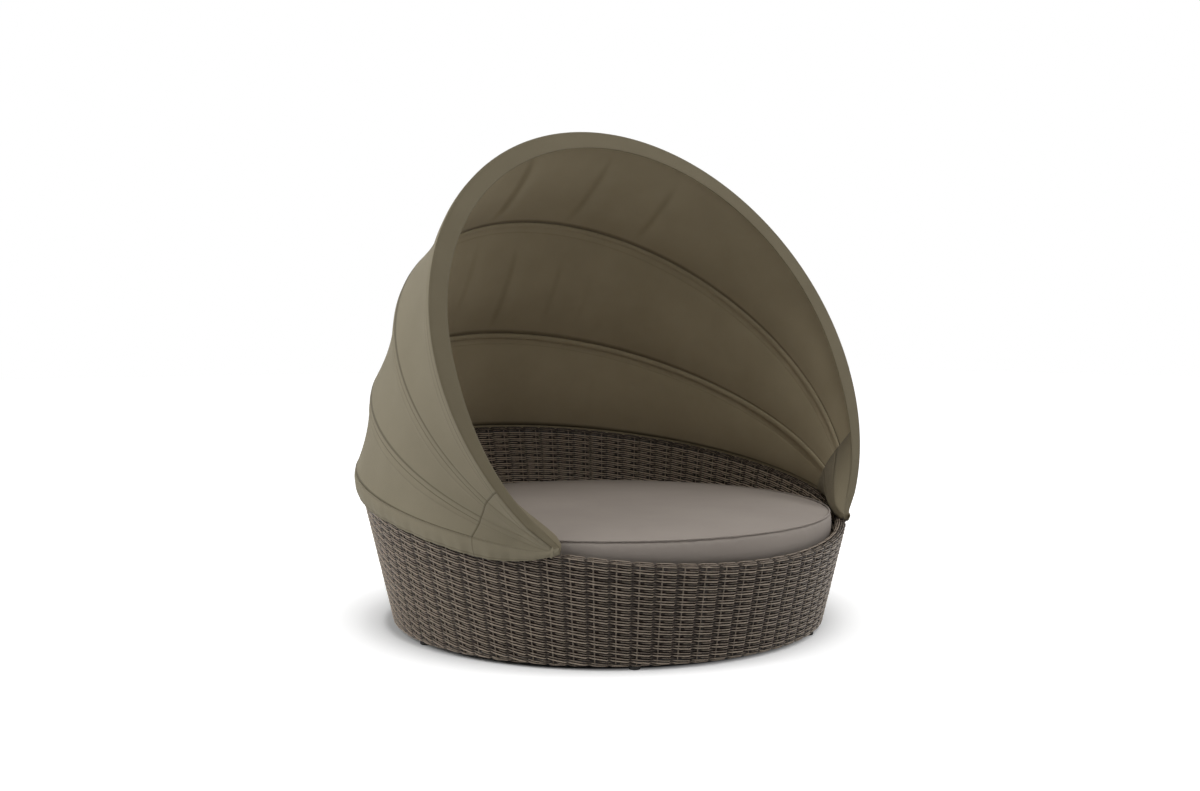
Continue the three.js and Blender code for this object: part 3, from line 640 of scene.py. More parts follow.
# Creases in a panel: where each starts and ends on the arc (degrees) from the front bow (t = 0)
# to the next (t = 1), its height, its steep and its soft half width in millimetres, and the
# stretch of t that it fills.
creases = {
    0: [
        (107, 106, 10.5, 12, 44, 0.06, 1.0), (83.6, 82.6, 9.5, 12, 44, 0.08, 0.98),
        (63.2, 62.4, 7.5, 12, 40, 0.15, 0.95), (127, 124, 3.0, 16, 40, 0.1, 0.9),
    ],
    1: [
        (94.6, 93, 9.0, 12, 40, 0.1, 1.0), (107.6, 108.4, 6.0, 13, 38, 0.05, 0.8),
        (79.8, 77.8, 5.5, 13, 38, 0.15, 0.95), (70, 68, 2.2, 14, 34, 0.2, 0.9),
    ],
    2: [(100, 103, 1.5, 16, 30, 0.3, 0.9), (60, 58, 1.5, 16, 34, 0.2, 0.9)],
}
# How much of t a crease takes to rise, and where on its steep side the painted shade lies, in steep half
# widths
creaseShares = dict(rise=0.25, shadeAt=0.8, shadeWidth=0.9)
# Slow waves: their height, the share of t in which they fade, turns along the arc and slant
panelWaves = dict(height=1.6, fade=0.12, turns=(7, 3), slant=2.5)


def creaseDepth(bow, a, t):
    depth = np.zeros(np.broadcast(a, t).shape)
    creaseShade = np.zeros(depth.shape)  # painted shade on the steep side of a fold
    for start, end, height, steep, soft, low, high in creases[bow]:
        line = (start + (end - start) * t) * degree
        away = (a - line) * clothRadius(bow)
        rise = creaseShares["rise"]
        fill = height * smooth(low, low + rise, t) * (1 - smooth(high - rise, high, t))
        depth = depth + fill * np.exp(-(away / np.where(away > 0, steep, soft)) ** 2)
        fromShade = (away - creaseShares["shadeAt"] * steep) / (creaseShares["shadeWidth"] * steep)
        creaseShade = creaseShade + fill * np.exp(-fromShade ** 2)
    return depth, creaseShade


# A panel: over its bow, then a ruled sheet to the next bow or the rim that sinks towards the
# bows' centre by a parabola of the way across, with creases and slow waves.
def panelFace(bow, a, t):
    lowest = bow == 2
    if lowest:
        edge = onRim(rimAngle(a), clothOut, canopy["hemTop"] + gap)
    else:
        edge = overBow(bow + 1, a, 0, halfBow + gap)
    front = overBow(bow, a, 0, -halfBow)
    span = np.linalg.norm(front - edge, axis=-1, keepdims=True)
    point = front + (edge - front) * t[..., None]
    focus = inPlane((planes[bow] + planes[bow + 1]) / 2, centreReach)
    hollow = (4 * t * (1 - t))[..., None]
    fade = smooth(0, panelWaves["fade"], t) * smooth(0, panelWaves["fade"], 1 - t)
    main, second = panelWaves["turns"]
    waves = np.sin(main * a + panelWaves["slant"] * t + bow) * np.sin(second * a - bow)
    waves = panelWaves["height"] * fade * waves
    extra = (creaseDepth(bow, a, t)[0] + waves)[..., None]
    return point + unit(focus - point) * (hollow * canopy["sagShare"] * span + extra)


def runLength(points, axis):
    step = np.linalg.norm(np.diff(points, axis=axis), axis=-1)
    total = np.cumsum(step, axis=axis)
    pad = [(0, 0)] * total.ndim
    pad[axis] = (1, 0)
    return np.pad(total, pad)


# Cloth coordinates in metres: the run along one column of a grid, and the run across its rows.
def clothUv(grid, column):
    across = runLength(grid, 1) * metre
    along = runLength(grid, 0)[:, column][:, None] * metre
    return np.stack([np.broadcast_to(along, across.shape), across], axis=-1).reshape(-1, 2)


# A cloth sheet from a grid of points, with marks for seams, painted shade and stitches.
def makeSheet(name, grid, thickness, flip=False, seam=None, stitch=None):
    rows, columns = grid.shape[:2]
    quads = gridFaces(rows, columns)
    if flip:
        quads = quads[:, ::-1]
    piece = makePiece(name, toFrame(grid.reshape(-1, 3)), quads, clothUv(grid, columns // 2))
    for word, values in (("seam", seam), ("stitch", stitch)):
        if values is not None:
            setValues(piece, word, np.broadcast_to(values, grid.shape[:2]))
    thicken(piece, thickness)
    return piece


def arcAngles(steps):
    return np.linspace(clothStart, math.pi - clothStart, steps)


hoops = ["front_hoop", "upper_hoop", "lower_hoop", "base"]
panelNames = ["canopy_panel_front", "canopy_panel_upper", "canopy_panel_rear"]


# A piece between two hoops: its placement is baked into its mesh, and it hangs on no hoop.
def blendFan(piece):
    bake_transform(piece)


hemSizes = dict(
    dropFront=55, dropBack=98, dropFromDeg=84, dropToDeg=132, bulgeFront=5, bulgeBack=13,
    gather=4, gathers=29, unevenShare=0.35, unevenTurns=(2.7, 5),
    endDeg=45.8, fullDeg=66, endLift=63, endPower=2.2, topLift=23, topDeg=8, topPower=3,
    steps=900, rows=17, lip=1, lipShares=(0.88, 0.94),
    patchDeg=64.4, patchRowsDeg=(-0.1, -0.03, 0.03), patchSeamDeg=0.08,
    channelShare=0.875, channelSeam=0.35, stitchRow=1, stitch=0.4,
    cut=(0.115, 4.20, 0.36),  # flat width, length and area, in metres
)


# The hem: from the stitch line above the rim down to its lower edge, t = 0 to 1. Its lower edge
# rises to the bolt by a power of the way. It stands out by half a sine wave, and by gathers that
# grow towards the lower edge.
def hemFace(phi, t, lift=0):
    size = hemSizes
    fromFront = np.minimum(phi, 2 * math.pi - phi) / degree
    back = smooth(size["dropFromDeg"], size["dropToDeg"], fromFront)
    near = 1 - np.clip((fromFront - size["endDeg"]) / (size["fullDeg"] - size["endDeg"]), 0, 1)
    drop = size["dropFront"] + (size["dropBack"] - size["dropFront"]) * back
    drop = drop - size["endLift"] * near ** size["endPower"]
    nearest = 1 - np.clip((fromFront - size["endDeg"]) / size["topDeg"], 0, 1)
    top = canopy["hemTop"] + size["topLift"] * nearest ** size["topPower"]
    bulge = size["bulgeFront"] + (size["bulgeBack"] - size["bulgeFront"]) * back
    turn = (phi - rimStart) / (2 * (math.pi - rimStart))
    wave = 2 * math.pi * size["gathers"] * turn
    quick, slow = size["unevenTurns"]
    uneven = size["unevenShare"] * np.sin(quick * wave + 1) * np.sin(slow * turn)
    gather = (1 - np.cos(wave)) / 2 + uneven
    out = bulge * np.sin(math.pi * t) + size["gather"] * gather * t * (1 - nearest)
    return onRim(phi, clothOut + out, top + lift - (top + drop) * t)


# The corners over the bolts: the cloth runs straight on from the end of each bow's arc to a tip,
# an arc round the bolt, which the three panels share.
tip = dict(
    out=8, reach=15, fromDeg=126, stepDeg=27, steps=15, swell=(3, -0.9, 0.3),
    patchDeg=-28.6, patchRise=0.8,  # a patch over the corner starts here on the bow's arc
)


def tipArc(x, reach, turn):
    return stack(x, reach * np.cos(turn), reach * np.sin(turn)) + pivotPlace


# Rows from the edge of a panel (columns of points, right-hand side) to the tip, swelling a
# little. The rearmost panel's last column follows the hem instead of a straight line.
def cornerRows(edge, bow):
    run = runLength(edge, 0)
    share = run / run[-1]
    turns = (tip["fromDeg"] + tip["stepDeg"] * (bow + share)) * degree
    end = tipArc(bowEnd + tip["out"], tip["reach"], turns)
    t = np.linspace(0, 1, tip["steps"])[1:, None, None]
    rows = edge * (1 - t) + end * t
    if bow == 2:
        phi = rimStart + (hemSizes["endDeg"] * degree - rimStart) * t[:, 0, 0]
        line = hemFace(phi, np.zeros(phi.shape), gap)
        rows = rows + (line - rows[:, -1])[:, None, :] * (share ** 2)[None, :, None]
    return rows + np.sin(math.pi * t) * (1 - t) * np.array(tip["swell"])


# A panel's rows, in millimetres: across the bow, and from the bow's edge those that carry the seam
# and the ridge beside it
panelRows = dict(
    over=(halfBow, halfBow - 1, halfBow / 2, 0, -halfBow / 2, 0.5 - halfBow), dip=(1.2, 0.25, 0, 0, 0, 0),
    distances=(0.7, 1.8, 3, 8, 14, 19, 23, 27, 31, 35, 40), shortest=120, arcSteps=481, steps=36,
    seamRows=(0, 1), seamDip=0.9, ridgeRow=7, ridgeRise=(0.2, 0.7, 1.2, 0.7, 0.2),
    # the far edge's seam, the stitch line, and how dark the painted shade in the creases is
    edgeSeam=0.8, stitch=0.4, creaseShade=0.022,
    patchRowsDeg=(-0.12, -0.04, 0.04), patchSeamDeg=0.1, patchFade=0.25,
    # each panel's flat cut, a crescent: width, length and area, in metres
    cuts=((0.51, 4.02, 1.20), (0.53, 4.00, 1.24), (0.42, 4.06, 1.01)),
)


# A panel's rows go over its bow, down the panel's face and, at both ends, on to the tips. The ridge
# rises and the seam sinks along the line from the bow's centre.
def makePanel(bow):
    size = panelRows
    patchAt = tip["patchDeg"] * degree
    edges = tip["patchDeg"] + np.array(size["patchRowsDeg"])
    edges = np.concatenate([edges, 180 - edges]) * degree
    a = np.sort(np.concatenate([arcAngles(size["arcSteps"]), edges]))[:, None]
    over = np.array(size["over"])
    bar = overBow(bow, a, np.array(size["dip"])[None, :], over[None, :])
    span = np.linalg.norm(panelFace(bow, a, 0 * a) - panelFace(bow, a, 0 * a + 1), axis=-1)
    near = np.array(size["distances"]) / np.maximum(span, size["shortest"])
    far = np.linspace(0, 1, size["steps"])
    t = np.concatenate([near, near[:, -1:] + (1 - near[:, -1:]) * far[None, 1:]], axis=1)
    a = np.broadcast_to(a, t.shape)
    grid = np.concatenate([bar, panelFace(bow, a, t)], axis=1)
    right = cornerRows(grid[0], bow)[::-1]
    grid = np.concatenate([right, grid, right[::-1] * np.array([-1, 1, 1])])
    corner = np.full(len(right), -1.0)
    turn = np.concatenate([corner, np.minimum(a, math.pi - a)[:, 0], corner])
    patch = np.where(turn < patchAt, tip["patchRise"], 0)
    fade = np.where(turn < patchAt, size["patchFade"], 1)
    seamRows = over.size + np.array(size["seamRows"])
    ridge = over.size + size["ridgeRow"]
    rise, seam, stitch = np.zeros((3, grid.shape[1]))
    rise[ridge - 2:ridge + 3] = size["ridgeRise"]
    rise[seamRows] = -size["seamDip"]
    seam[seamRows] = 1
    seam[-2:] = size["edgeSeam"]
    stitch[ridge] = size["stitch"]
    outwards = unit(grid - inPlane(bowAngle[bow], centreReach))
    grid = grid + outwards * (rise[None, :] * fade[:, None] + patch[:, None])[..., None]
    patchEdge = np.abs(turn - patchAt) < size["patchSeamDeg"] * degree
    seam = np.maximum(seam[None, :] * fade[:, None], patchEdge[:, None])
    face = seam[len(right):-len(right), over.size:]
    # painted shade: the creases' steep sides are painted darker through the seam-and-shade mark
    face[...] = np.maximum(face, creaseDepth(bow, a, t)[1] * size["creaseShade"])
    stitch = stitch[None, :] * fade[:, None]
    name = panelNames[bow] + "_cloth"
    piece = makeSheet(name, grid, canopy["clothThickness"], seam=seam, stitch=stitch)
    finishPiece(piece, clothMaterial, [panelNames[bow], "canopy_corner_left", "canopy_corner_right"])
    blendFan(piece)


for bow in range(3):
    makePanel(bow)
print("stage: panels")


# The facing band in front of the front bow, with a soft inner edge. Its section is a flat strip, a
# lip that falls to the back by the fourth power of the way, and the strip's back. Past the arc it
# runs straight on to the bolt and round it, and tapers to a line.
bandSizes = dict(
    cut=(0.064, 4.07, 0.236),  # flat width, length and area of one layer, in metres
    arcSteps=321, stripSteps=9, lipSteps=7, lipPower=4, pucker=0.8, puckerTurns=(23, 5),
    tipWidth=25, tipReach=16.8, tipToDeg=215, straightRows=25, arcRows=15, closeTurn=0.02,
    dent=(0, -0.81, 0.36), dentTurns=9, lengthColumn=4, stitchColumn=1, stitch=0.15,
)


def bandWidthAt(a):
    rise = smooth(clothStart, 0, np.minimum(a, math.pi - a))
    return canopy["bandWidth"] * (canopy["bandEndShare"] + (1 - canopy["bandEndShare"]) * rise)


# The section at each angle of the arc: the depth and the distance across of its points.
def bandSection(a):
    width, lip, back = bandWidthAt(a), canopy["lipWidth"], halfBow + gap
    turn = np.linspace(0, math.pi, bandSizes["lipSteps"])[None, :]
    share = np.linspace(0, 1, bandSizes["stripSteps"])[None, :]
    strip = share * (width - lip)
    quick, slow = bandSizes["puckerTurns"]
    pucker = bandSizes["pucker"] * np.sin(a * quick) * np.sin(a * slow + 1) * np.sin(share * math.pi)
    lipDepth = width - lip / 2 - np.cos(turn) * lip / 2
    fall = (turn / math.pi) ** bandSizes["lipPower"]
    lipAcross = back + canopy["slotThickness"] * (1 - fall) + 0 * a
    depth = np.concatenate([strip, lipDepth, strip[:, ::-1]], axis=1)
    across = [back + canopy["slotThickness"] + pucker, lipAcross, np.full(strip.shape, back)]
    return depth, np.concatenate(across, axis=1)


# The rows from the right-hand end of the arc to the bolt, and round it.
def bandCorner():
    depth, across = (values[0] for values in bandSection(np.array([[clothStart]])))
    first = overBow(0, clothStart, depth, across)
    x = bowEnd + tip["out"] - bandSizes["tipWidth"] * depth / depth.max()
    turns = np.linspace(tip["fromDeg"], bandSizes["tipToDeg"], bandSizes["arcRows"])[:, None] * degree
    reach = bandSizes["tipReach"] - canopy["slotThickness"] + across - halfBow - gap
    t = np.linspace(0, 1, bandSizes["straightRows"])[1:, None, None]
    straight = first * (1 - t) + tipArc(x, reach, turns[0]) * t
    dent = np.sin(math.pi * depth / depth.max()) * np.sin(bandSizes["dentTurns"] * t[..., 0])
    straight = straight + dent[..., None] * np.array(bandSizes["dent"])
    arc = tipArc(*np.broadcast_arrays(x, reach, turns[1:]))
    middle = bandSizes["tipReach"] - canopy["slotThickness"] / 2
    close = tipArc(x, np.full(x.shape, middle), turns[-1] + bandSizes["closeTurn"])
    return np.concatenate([straight, arc, close[None]])


def makeBand():
    a = arcAngles(bandSizes["arcSteps"])[:, None]
    depth, across = bandSection(a)
    grid = overBow(0, np.broadcast_to(a, depth.shape), depth, across)
    corner = bandCorner()
    grid = np.concatenate([corner[::-1], grid, corner * np.array([-1, 1, 1])])
    rows, columns = grid.shape[:2]
    quads = gridFaces(rows, columns, False, True)[:, ::-1]
    uv = clothUv(grid, bandSizes["lengthColumn"])
    piece = makePiece("front_band_cloth", toFrame(grid.reshape(-1, 3)), quads, uv)
    stitch = np.zeros(columns)
    stitch[bandSizes["stitchColumn"]] = bandSizes["stitch"]
    setValues(piece, "stitch", np.broadcast_to(stitch, (rows, columns)))
    joinDoubles(piece)
    replaced = ["front_band", "canopy_corner_left", "canopy_corner_right"]
    finishPiece(piece, facingMaterial, replaced, "front_hoop")


makeBand()
print("stage: band")

# Sleeves that hold the bows: a channel of cloth on each bow's inner side, open towards the panel,
# whose two edges show as a pair of seams. They stop short of the pivots, where the bows nest.
sleeves = dict(
    halfWidth=11.5, slimWidth=9.2, floorHalf=8.5, edgeDepth=2.6, clear=1.5, thickness=0.9,
    startDeg=-22, steps=301, corner=1, edgeIn=0.6, frontEdgeIn=0.2, pucker=0.3, puckerTurns=150,
    # which of the nine columns pucker, and how dark the seam is there
    puckered=(0, 0, 0, 1, 1, 1, 0, 0, 0), seam=(0, 0, 0, 0, 0, 0, 0, 0.8, 1),
    cut=(0.0285, 3.36),  # flat width and length, in metres
)


# The section is a channel of nine points: from its rear edge in to the floor and out to the front
# edge, which stays within the front bow's width.
def makeSleeve(bow, hoop):
    size = sleeves
    a = np.linspace(size["startDeg"], 180 - size["startDeg"], size["steps"])[:, None] * degree
    deep = canopy["slotThickness"] + gap + canopy["bowThickness"] + size["clear"]
    nearEnd = smooth(size["startDeg"] * degree, 0, np.minimum(a, math.pi - a))
    wide = size["slimWidth"] + (size["halfWidth"] - size["slimWidth"]) * nearEnd
    front = np.minimum(wide, halfBow) if bow == 0 else wide
    floor = np.full(a.shape, size["floorHalf"])
    ahead = np.minimum(floor, front)
    corner, edge = size["corner"], size["edgeDepth"]
    across = [
        -wide, -wide + size["edgeIn"], -floor, -floor + corner, 0 * floor,
        ahead - corner, ahead, front - size["frontEdgeIn"], front,
    ]
    side = [edge, edge + corner, deep - corner, deep]
    depth = np.array([*side, deep, *side[::-1]])
    pucker = size["pucker"] * np.sin(a * size["puckerTurns"]) * np.array(size["puckered"])
    grid = overBow(bow, a, depth[None, :] + pucker, np.concatenate(across, axis=1))
    name = "bow_sleeve_" + hoop.split("_")[0]
    piece = makeSheet(name, grid, size["thickness"], flip=True, seam=np.array(size["seam"]))
    finishPiece(piece, clothMaterial, rides=hoop)


for bow in range(3):
    makeSleeve(bow, hoops[bow])
print("stage: sleeves")


def makeHem():
    size = hemSizes
    start, patch = size["endDeg"] * degree, size["patchDeg"] * degree
    edges = patch + np.array(size["patchRowsDeg"]) * degree
    edges = np.concatenate([edges, 2 * math.pi - edges])
    phi = np.sort(np.concatenate([np.linspace(start, 2 * math.pi - start, size["steps"]), edges]))[:, None]
    t = np.linspace(0, 1, size["rows"])[None, :]
    grid = hemFace(*np.broadcast_arrays(phi, t))
    fromFront = np.minimum(phi, 2 * math.pi - phi)
    raised = np.where(fromFront < patch, tip["patchRise"], 0) + size["lip"] * smooth(*size["lipShares"], t)
    grid = grid + unit(grid * np.array([1, 1, 0])) * raised[..., None]
    patchEdge = np.abs(fromFront - patch) < size["patchSeamDeg"] * degree
    seam = np.maximum(patchEdge, np.isclose(t, size["channelShare"]) * size["channelSeam"])
    stitch = np.zeros(size["rows"])
    stitch[size["stitchRow"]] = size["stitch"]
    piece = makeSheet(
        "canopy_hem_cloth", grid[::-1], canopy["clothThickness"], seam=seam[::-1], stitch=stitch)
    replaced = ["canopy_hem", "canopy_corner_left", "canopy_corner_right"]
    finishPiece(piece, clothMaterial, replaced, "base")


makeHem()
print("stage: hem")


# Caps over the nuts: low domes about the bolt's line, which fall by a power of the radius and which
# the tips meet.
tipCaps = dict(
    low=6.5, high=14, reach=17.2, power=3, sides=40, rings=10,
    cut=(0.038, 0.038, 0.0011),  # flat width, length and area, in metres
)


def makeTipCap(sideName, side):
    turn = fullTurn(tipCaps["sides"])[:, None]
    share = np.linspace(1, 0, tipCaps["rings"])[None, :]
    x = bowEnd + tipCaps["low"] + (tipCaps["high"] - tipCaps["low"]) * (1 - share ** tipCaps["power"])
    grid = tipArc(*np.broadcast_arrays(x, tipCaps["reach"] * share, turn)) * np.array([side, 1, 1])
    quads = gridFaces(tipCaps["sides"], tipCaps["rings"], True, False)
    cap = makePiece(f"corner_{sideName}_cap", toFrame(grid), quads if side > 0 else quads[:, ::-1])
    joinDoubles(cap)
    thicken(cap, canopy["clothThickness"])
    finishPiece(cap, clothMaterial, [f"canopy_corner_{sideName}"], "base")


# The lining: inside the hoops' ends, three gores from the bows' inner faces to an arc round the
# bolt, so no metal shows from inside.
lining = dict(
    startDeg=-21, depth=9.4, x=594, reach=16.5, stepDeg=30, over=1.6, bandShare=0.66, under=3,
    level=0.14, power=1.25, endX=606.5, endFrom=0.95,  # how it passes inside the bows' ends and the bolt
    columns=11, rows=41, bandPower=1.5, rimPower=2, rimEndPower=6, edgeSeam=0.4, sideSeam=0.25,
    # flat width, length and area of the front, upper and lower gore, in metres
    cuts=((0.116, 0.36, 0.0240), (0.109, 0.385, 0.0226), (0.092, 0.388, 0.0240)),
)


# A gore is ruled from the hollow edge between two bows to its arc round the bolt. The front gore's
# first column follows the band, and the lower gore's last column the rim.
def makeLining(sideName, side, bow):
    size = lining
    a = np.array(size["startDeg"] * degree)
    t = np.linspace(0, 1, size["columns"])[:, None]
    first = overBow(bow, a, size["depth"], 0)
    if bow == 2:
        phi = rimAngle(a)
        last = onRim(phi, wallMiddle, size["over"])
    else:
        last = overBow(bow + 1, a, size["depth"], 0)
    hollow = 4 * t * (1 - t) * canopy["sagShare"] * np.linalg.norm(last - first)
    edge = first * (1 - t) + last * t - hollow * np.array([1, 0, 0])
    turns = (tip["fromDeg"] + size["stepDeg"] * (bow + t[:, 0])) * degree
    end = tipArc(size["x"], size["reach"], turns)
    s = np.linspace(0, 1, size["rows"])[:, None, None]
    grid = edge * (1 - s) + end * s
    # it stays inside the cranked ends of the bows, and comes out again to the band past the bolt
    inwards = np.maximum(1 - s[:, :, 0] - size["level"], 0) / (1 - size["level"])
    grid[..., 0] = size["x"] + (edge[:, 0] - size["x"]) * inwards ** size["power"]
    grid[..., 0] += (size["endX"] - size["x"]) * smooth(size["endFrom"], 1, s[:, :, 0])
    if bow == 0:
        along = a + (clothStart - a) * np.clip(s[:, 0, 0] / size["bandShare"], 0, 1)
        beside = overBow(0, along, bandWidthAt(along) - size["under"], halfBow + gap)
        straight = np.clip((s[:, 0] - size["bandShare"]) / (1 - size["bandShare"]), 0, 1)
        line = beside * (1 - straight) + grid[-1, 0] * straight
        share = (1 - t[:, 0]) ** size["bandPower"]
        grid = grid + (line - grid[:, 0])[:, None, :] * share[None, :, None]
    if bow == 2:
        phiEnd = canopy["pivotDeg"] * degree
        line = onRim(phi + (phiEnd - phi) * s[:, 0, 0], wallMiddle, size["over"])
        share = (t[:, 0] ** size["rimPower"])[None, :, None] * (1 - s ** size["rimEndPower"])
        grid = grid + (line - grid[:, -1])[:, None, :] * share
    grid = grid * np.array([side, 1, 1])
    seam = np.zeros(grid.shape[:2])
    seam[0] = size["edgeSeam"]
    seam[1:, [0, -1]] = size["sideSeam"]
    name = f"corner_{sideName}_lining_{['front', 'upper', 'lower'][bow]}"
    piece = makeSheet(name, grid, sleeves["thickness"], flip=side > 0, seam=seam)
    finishPiece(piece, liningMaterial, [f"canopy_corner_{sideName}"])
    blendFan(piece)


for sideName, side in (("left", -1), ("right", 1)):
    for bow in range(3):
        makeLining(sideName, side, bow)
    makeTipCap(sideName, side)
print("stage: corners")

pad = dict(
    clearance=10.4, seamOut=22, height=139, crown=17, bulge=12.5, footRise=7, piping=2.8, inset=2,
    footSteps=24, footPower=0.8, sideSteps=15, topSteps=40, topShare=0.99, crownPower=4, sides=180,
    voxel=15, pressure=4, frames=20, furthest=7, fill=0.9,
    sectors=120, edgeReach=7, sewnIn=1, spread=2,  # how the piping finds the cover's edge
    pipingSteps=720, pipingSides=8, pucker=0.05, puckerTurns=(190, 7),
)
padFoot = deckHigh.z / metre + gap
padSeam = padFoot + pad["height"]
padFootRadius = (
    body["radius"] + flare * (deckHigh.z / metre - body["foot"]) - body["thickness"] - pad["clearance"]
)
padSeamRadius = padFootRadius + pad["seamOut"]


# The cushion's profile, turned round the upright axis: a flat foot, sides that swell between the
# seams by half a sine wave, and a crown that falls by the fourth power of the radius.
def cushionProfile(inset):
    t = np.linspace(0, 1, pad["sideSteps"])
    r = np.linspace(0, 1, pad["footSteps"]) ** pad["footPower"] * (padFootRadius - pad["footRise"])
    foot = [r, np.full(r.shape, padFoot)]
    side = [
        padFootRadius + pad["seamOut"] * t + pad["bulge"] * np.sin(math.pi * t) - inset,
        padFoot + pad["footRise"] + (padSeam - padFoot - pad["footRise"]) * t - inset * t,
    ]
    share = np.linspace(pad["topShare"], 0, pad["topSteps"])
    crown = pad["crown"] * (1 - share ** pad["crownPower"])
    top = [(padSeamRadius - inset) * share, padSeam - inset + crown]
    return np.concatenate([np.stack(part, -1) for part in (foot, side, top)])


# The profile turned to a closed form, whose first and last rows are single points.
def turnProfile(name, profile, steps):
    phi = fullTurn(steps)[:, None]
    grid = stack(profile[None, :, 0] * np.sin(phi), -profile[None, :, 0] * np.cos(phi), profile[None, :, 1])
    quads = gridFaces(steps, len(profile), True, False)
    return joinDoubles(makePiece(name, toFrame(grid.reshape(-1, 3)), quads))


def applyModifiers(piece):
    graph = bpy.context.evaluated_depsgraph_get()
    mesh = bpy.data.meshes.new_from_object(piece.evaluated_get(graph))
    old = piece.data
    piece.modifiers.clear()
    piece.data = mesh
    bpy.data.meshes.remove(old)
    mesh.polygons.foreach_set("use_smooth", np.ones(len(mesh.polygons), bool))


def meshPoints(mesh):
    points = np.empty(len(mesh.vertices) * 3, np.float32)
    mesh.vertices.foreach_get("co", points)
    return points.reshape(-1, 3)


# The pad swells by pressure like a filled cover, and no point moves further than the dictionary
# says or leaves the deck.
def makeCushion():
    piece = turnProfile("seat_cushion", cushionProfile(pad["inset"]), pad["sides"])
    remesh = piece.modifiers.new("even faces", "REMESH")
    remesh.mode = "VOXEL"
    remesh.voxel_size = pad["voxel"] * metre
    remesh.use_smooth_shade = True
    applyModifiers(piece)
    rest = meshPoints(piece.data)
    cloth = piece.modifiers.new("filling", "CLOTH")
    cloth.settings.use_pressure = True
    cloth.settings.uniform_pressure_force = pad["pressure"]
    cloth.settings.effector_weights.gravity = 0
    cloth.point_cache.frame_end = pad["frames"]
    for step in range(1, pad["frames"] + 1):
        bpy.context.scene.frame_set(step)
    applyModifiers(piece)
    bpy.context.scene.frame_set(1)
    moved = meshPoints(piece.data) - rest
    far = np.linalg.norm(moved, axis=-1, keepdims=True)
    limit = pad["furthest"] * metre
    points = rest + moved * (limit / np.maximum(far, limit))
    points[:, 2] = np.maximum(points[:, 2], padFoot * metre)
    piece.data.vertices.foreach_set("co", points.ravel())
    smoother = piece.modifiers.new("soften", "SUBSURF")
    smoother.levels = 1
    smoother.render_levels = 1
    applyModifiers(piece)
    return piece


# How far out the cover's edge lies, sector by sector: the furthest point near the seam's height,
# averaged with the sectors beside it.
def coverEdge(piece, phi):
    points = meshPoints(piece.data) / metre
    x, y = points[:, 0], points[:, 1] - baseMiddleY / metre
    near = np.abs(points[:, 2] - padSeam + pad["inset"]) < pad["edgeReach"]
    count = pad["sectors"]
    sector = np.floor(np.arctan2(x, -y) / (2 * math.pi) * count).astype(int) % count
    edge = np.zeros(count)
    np.maximum.at(edge, sector[near], np.hypot(x, y)[near])
    steps = range(-pad["spread"], pad["spread"] + 1)
    edge = sum(np.roll(edge, step) for step in steps) / len(steps)
    return np.interp(phi, (np.arange(count) + 0.5) / count * 2 * math.pi, edge, period=2 * math.pi)


# Piping: a cord sewn into the seam, a circle of radius r carried round the seam, with the small
# puckers that sewing leaves.
def makePiping(name, cover, height):
    phi = fullTurn(pad["pipingSteps"])[:, None]
    radius = coverEdge(cover, phi) - pad["sewnIn"]
    turn = fullTurn(pad["pipingSides"])[None, :]
    quick, slow = pad["puckerTurns"]
    pucker = 1 + pad["pucker"] * np.sin(quick * phi) * np.sin(slow * phi)
    r = radius + pad["piping"] * pucker * np.cos(turn)
    z = height + pad["piping"] * pucker * np.sin(turn)
    grid = stack(r * np.sin(phi), -r * np.cos(phi), z)
    along = np.broadcast_to(phi * radius * metre, r.shape)
    around = np.broadcast_to(turn * pad["piping"] * metre, r.shape)
    uv = np.stack([along, around], -1).reshape(-1, 2)
    quads = gridFaces(pad["pipingSteps"], pad["pipingSides"], True, True)[:, ::-1]
    return makePiece(name, toFrame(grid.reshape(-1, 3)), quads, uv)


cushion = makeCushion()
finishPiece(cushion, cushionMaterial, ["cushion"], "base")
piping = makePiping("cushion_piping_upper", cushion, padSeam - pad["inset"])
finishPiece(piping, cushionMaterial, ["cushion"], "base")
print("stage: cushion")


# Finishes of the CAD nodes that stay
cadFinish = {
    "frame": frameMaterial, "deck": deckMaterial, "bow": bowMaterial, "steel": steelMaterial,
    "rubber": rubberMaterial, "nylon": rubberMaterial,
}
nodeSlots = {
    "rim_tube": "frame", "lower_tube": "frame", "upright": "frame", "seat_ring": "frame",
    "seat_rail": "frame", "pivot_tab": "frame", "seat_deck": "deck", "front_bow": "bow",
    "upper_bow": "bow", "lower_bow": "bow", "pivot_bolt": "steel", "cap_nut": "steel",
    "glide": "rubber", "washer": "nylon",
}
for name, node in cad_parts.items():
    for stem, slotName in nodeSlots.items():
        if name.startswith(stem):
            node.data.materials.clear()
            node.data.materials.append(cadFinish[slotName])
print("stage: finishes")


# Floor, backdrop and lights
studio = dict(
    floorSize=60, floorTone=0.8, floorRoughness=0.95, floorSpecular=0.1,
    horizon=0.08, zenith=0.21,  # light of the surroundings, level and from straight above
    # distance in shares of the reach and how much the floor glows to the camera, so it turns white
    # away from the base; it glows less near and under the base, a painted shadow there
    shineReach=4, floorGlowAndShadow=((0.192, 0.0), (0.198, 0.26), (0.222, 0.5), (0.31, 1.0)),
    # place, aim, power in watts and width of each soft lamp
    lamps=(
        ("front", (-0.3, -2.4, 5.2), (0, 0, 0.4), 117, 4.0),
        ("left", (-4.2, 1.15, 2.8), (0, 0, 0.7), 120, 3.0),
        ("right", (4.0, -3.0, 3.2), (0, 0, 0.5), 64, 3.0),
    ),
)


# One where the camera sees a surface, straight, in a mirror or through glass, and else nothing.
def seenDirectly(tree):
    path = addNode(tree, "ShaderNodeLightPath")
    seen = blendValues(tree, path.outputs["Is Camera Ray"], path.outputs["Is Glossy Ray"], "MAXIMUM")
    seen = blendValues(tree, seen, path.outputs["Is Transmission Ray"], "MAXIMUM")
    return seen


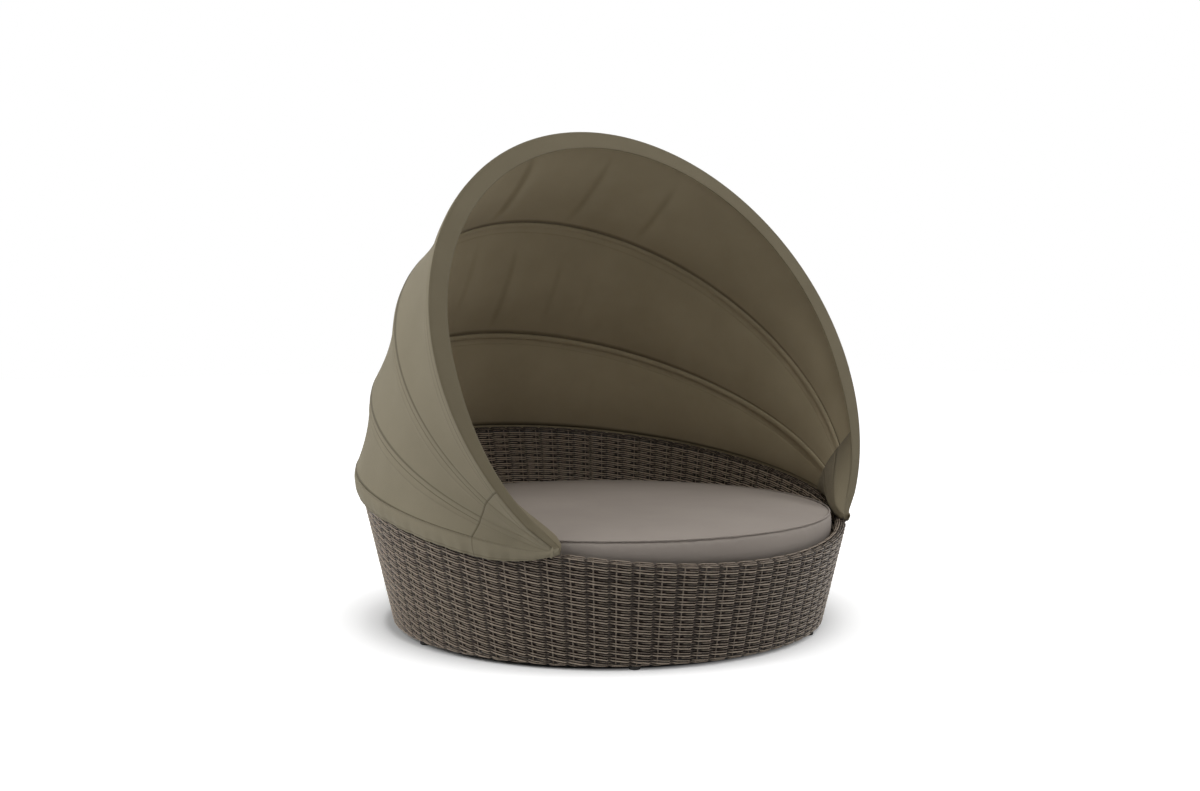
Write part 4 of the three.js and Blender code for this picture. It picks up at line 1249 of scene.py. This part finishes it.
def makeFloor():
    size = studio["floorSize"] / 2
    corners = np.array([[-size, -size, 0], [size, -size, 0], [size, size, 0], [-size, size, 0]])
    floor = makePiece("floor", corners, np.array([[0, 1, 2, 3]]), flat=True)
    material, tree, shader = startMaterial("floor", studio["floorRoughness"], studio["floorSpecular"])
    tone = studio["floorTone"]
    shader.inputs["Base Color"].default_value = (tone, tone, tone, 1)
    shader.inputs["Emission Color"].default_value = (1, 1, 1, 1)
    place = addNode(tree, "ShaderNodeTexCoord")
    distance = addNode(tree, "ShaderNodeVectorMath", operation="LENGTH")
    tree.links.new(place.outputs["Object"], distance.inputs[0])
    share = blendValues(tree, distance.outputs["Value"], 1 / studio["shineReach"])
    # painted shadow: the floor glows less near and under the base, and is fully white farther out
    shine = rampBetween(tree, share, [(at, (value, value, value)) for at, value in studio["floorGlowAndShadow"]])
    lift = blendValues(tree, seenDirectly(tree), shine)
    tree.links.new(lift, shader.inputs["Emission Strength"])
    floor.data.materials.append(material)


# The surroundings are white to the camera and light the scene more from above than from the sides.
def makeSurroundings():
    world = bpy.data.worlds.new("studio")
    bpy.context.scene.world = world
    world.use_nodes = True
    tree = world.node_tree
    background = tree.nodes["Background"]
    background.inputs["Color"].default_value = (1, 1, 1, 1)
    place = addNode(tree, "ShaderNodeTexCoord")
    split = addNode(tree, "ShaderNodeSeparateXYZ")
    tree.links.new(place.outputs["Generated"], split.inputs[0])
    sky = addNode(tree, "ShaderNodeMapRange")
    tree.links.new(split.outputs["Z"], sky.inputs["Value"])
    sky.inputs["To Min"].default_value = studio["horizon"]
    sky.inputs["To Max"].default_value = studio["zenith"]
    strength = addNode(tree, "ShaderNodeMix", data_type="FLOAT")
    tree.links.new(seenDirectly(tree), strength.inputs[0])
    tree.links.new(sky.outputs[0], strength.inputs[2])
    strength.inputs[3].default_value = 1
    tree.links.new(strength.outputs[0], background.inputs["Strength"])


def makeLamps():
    for name, place, aim, power, width in studio["lamps"]:
        data = bpy.data.lights.new(name, "AREA")
        data.energy = power
        data.size = width
        lamp = bpy.data.objects.new(name, data)
        lamp.location = place
        away = np.array(place) - np.array(aim)
        flat = math.hypot(away[0], away[1])
        lamp.rotation_euler = (math.atan2(flat, away[2]), 0, math.atan2(away[0], -away[1]))
        collection.objects.link(lamp)


makeFloor()
makeSurroundings()
makeLamps()
bpy.context.scene.view_settings.view_transform = "Standard"
print("stage: studio")
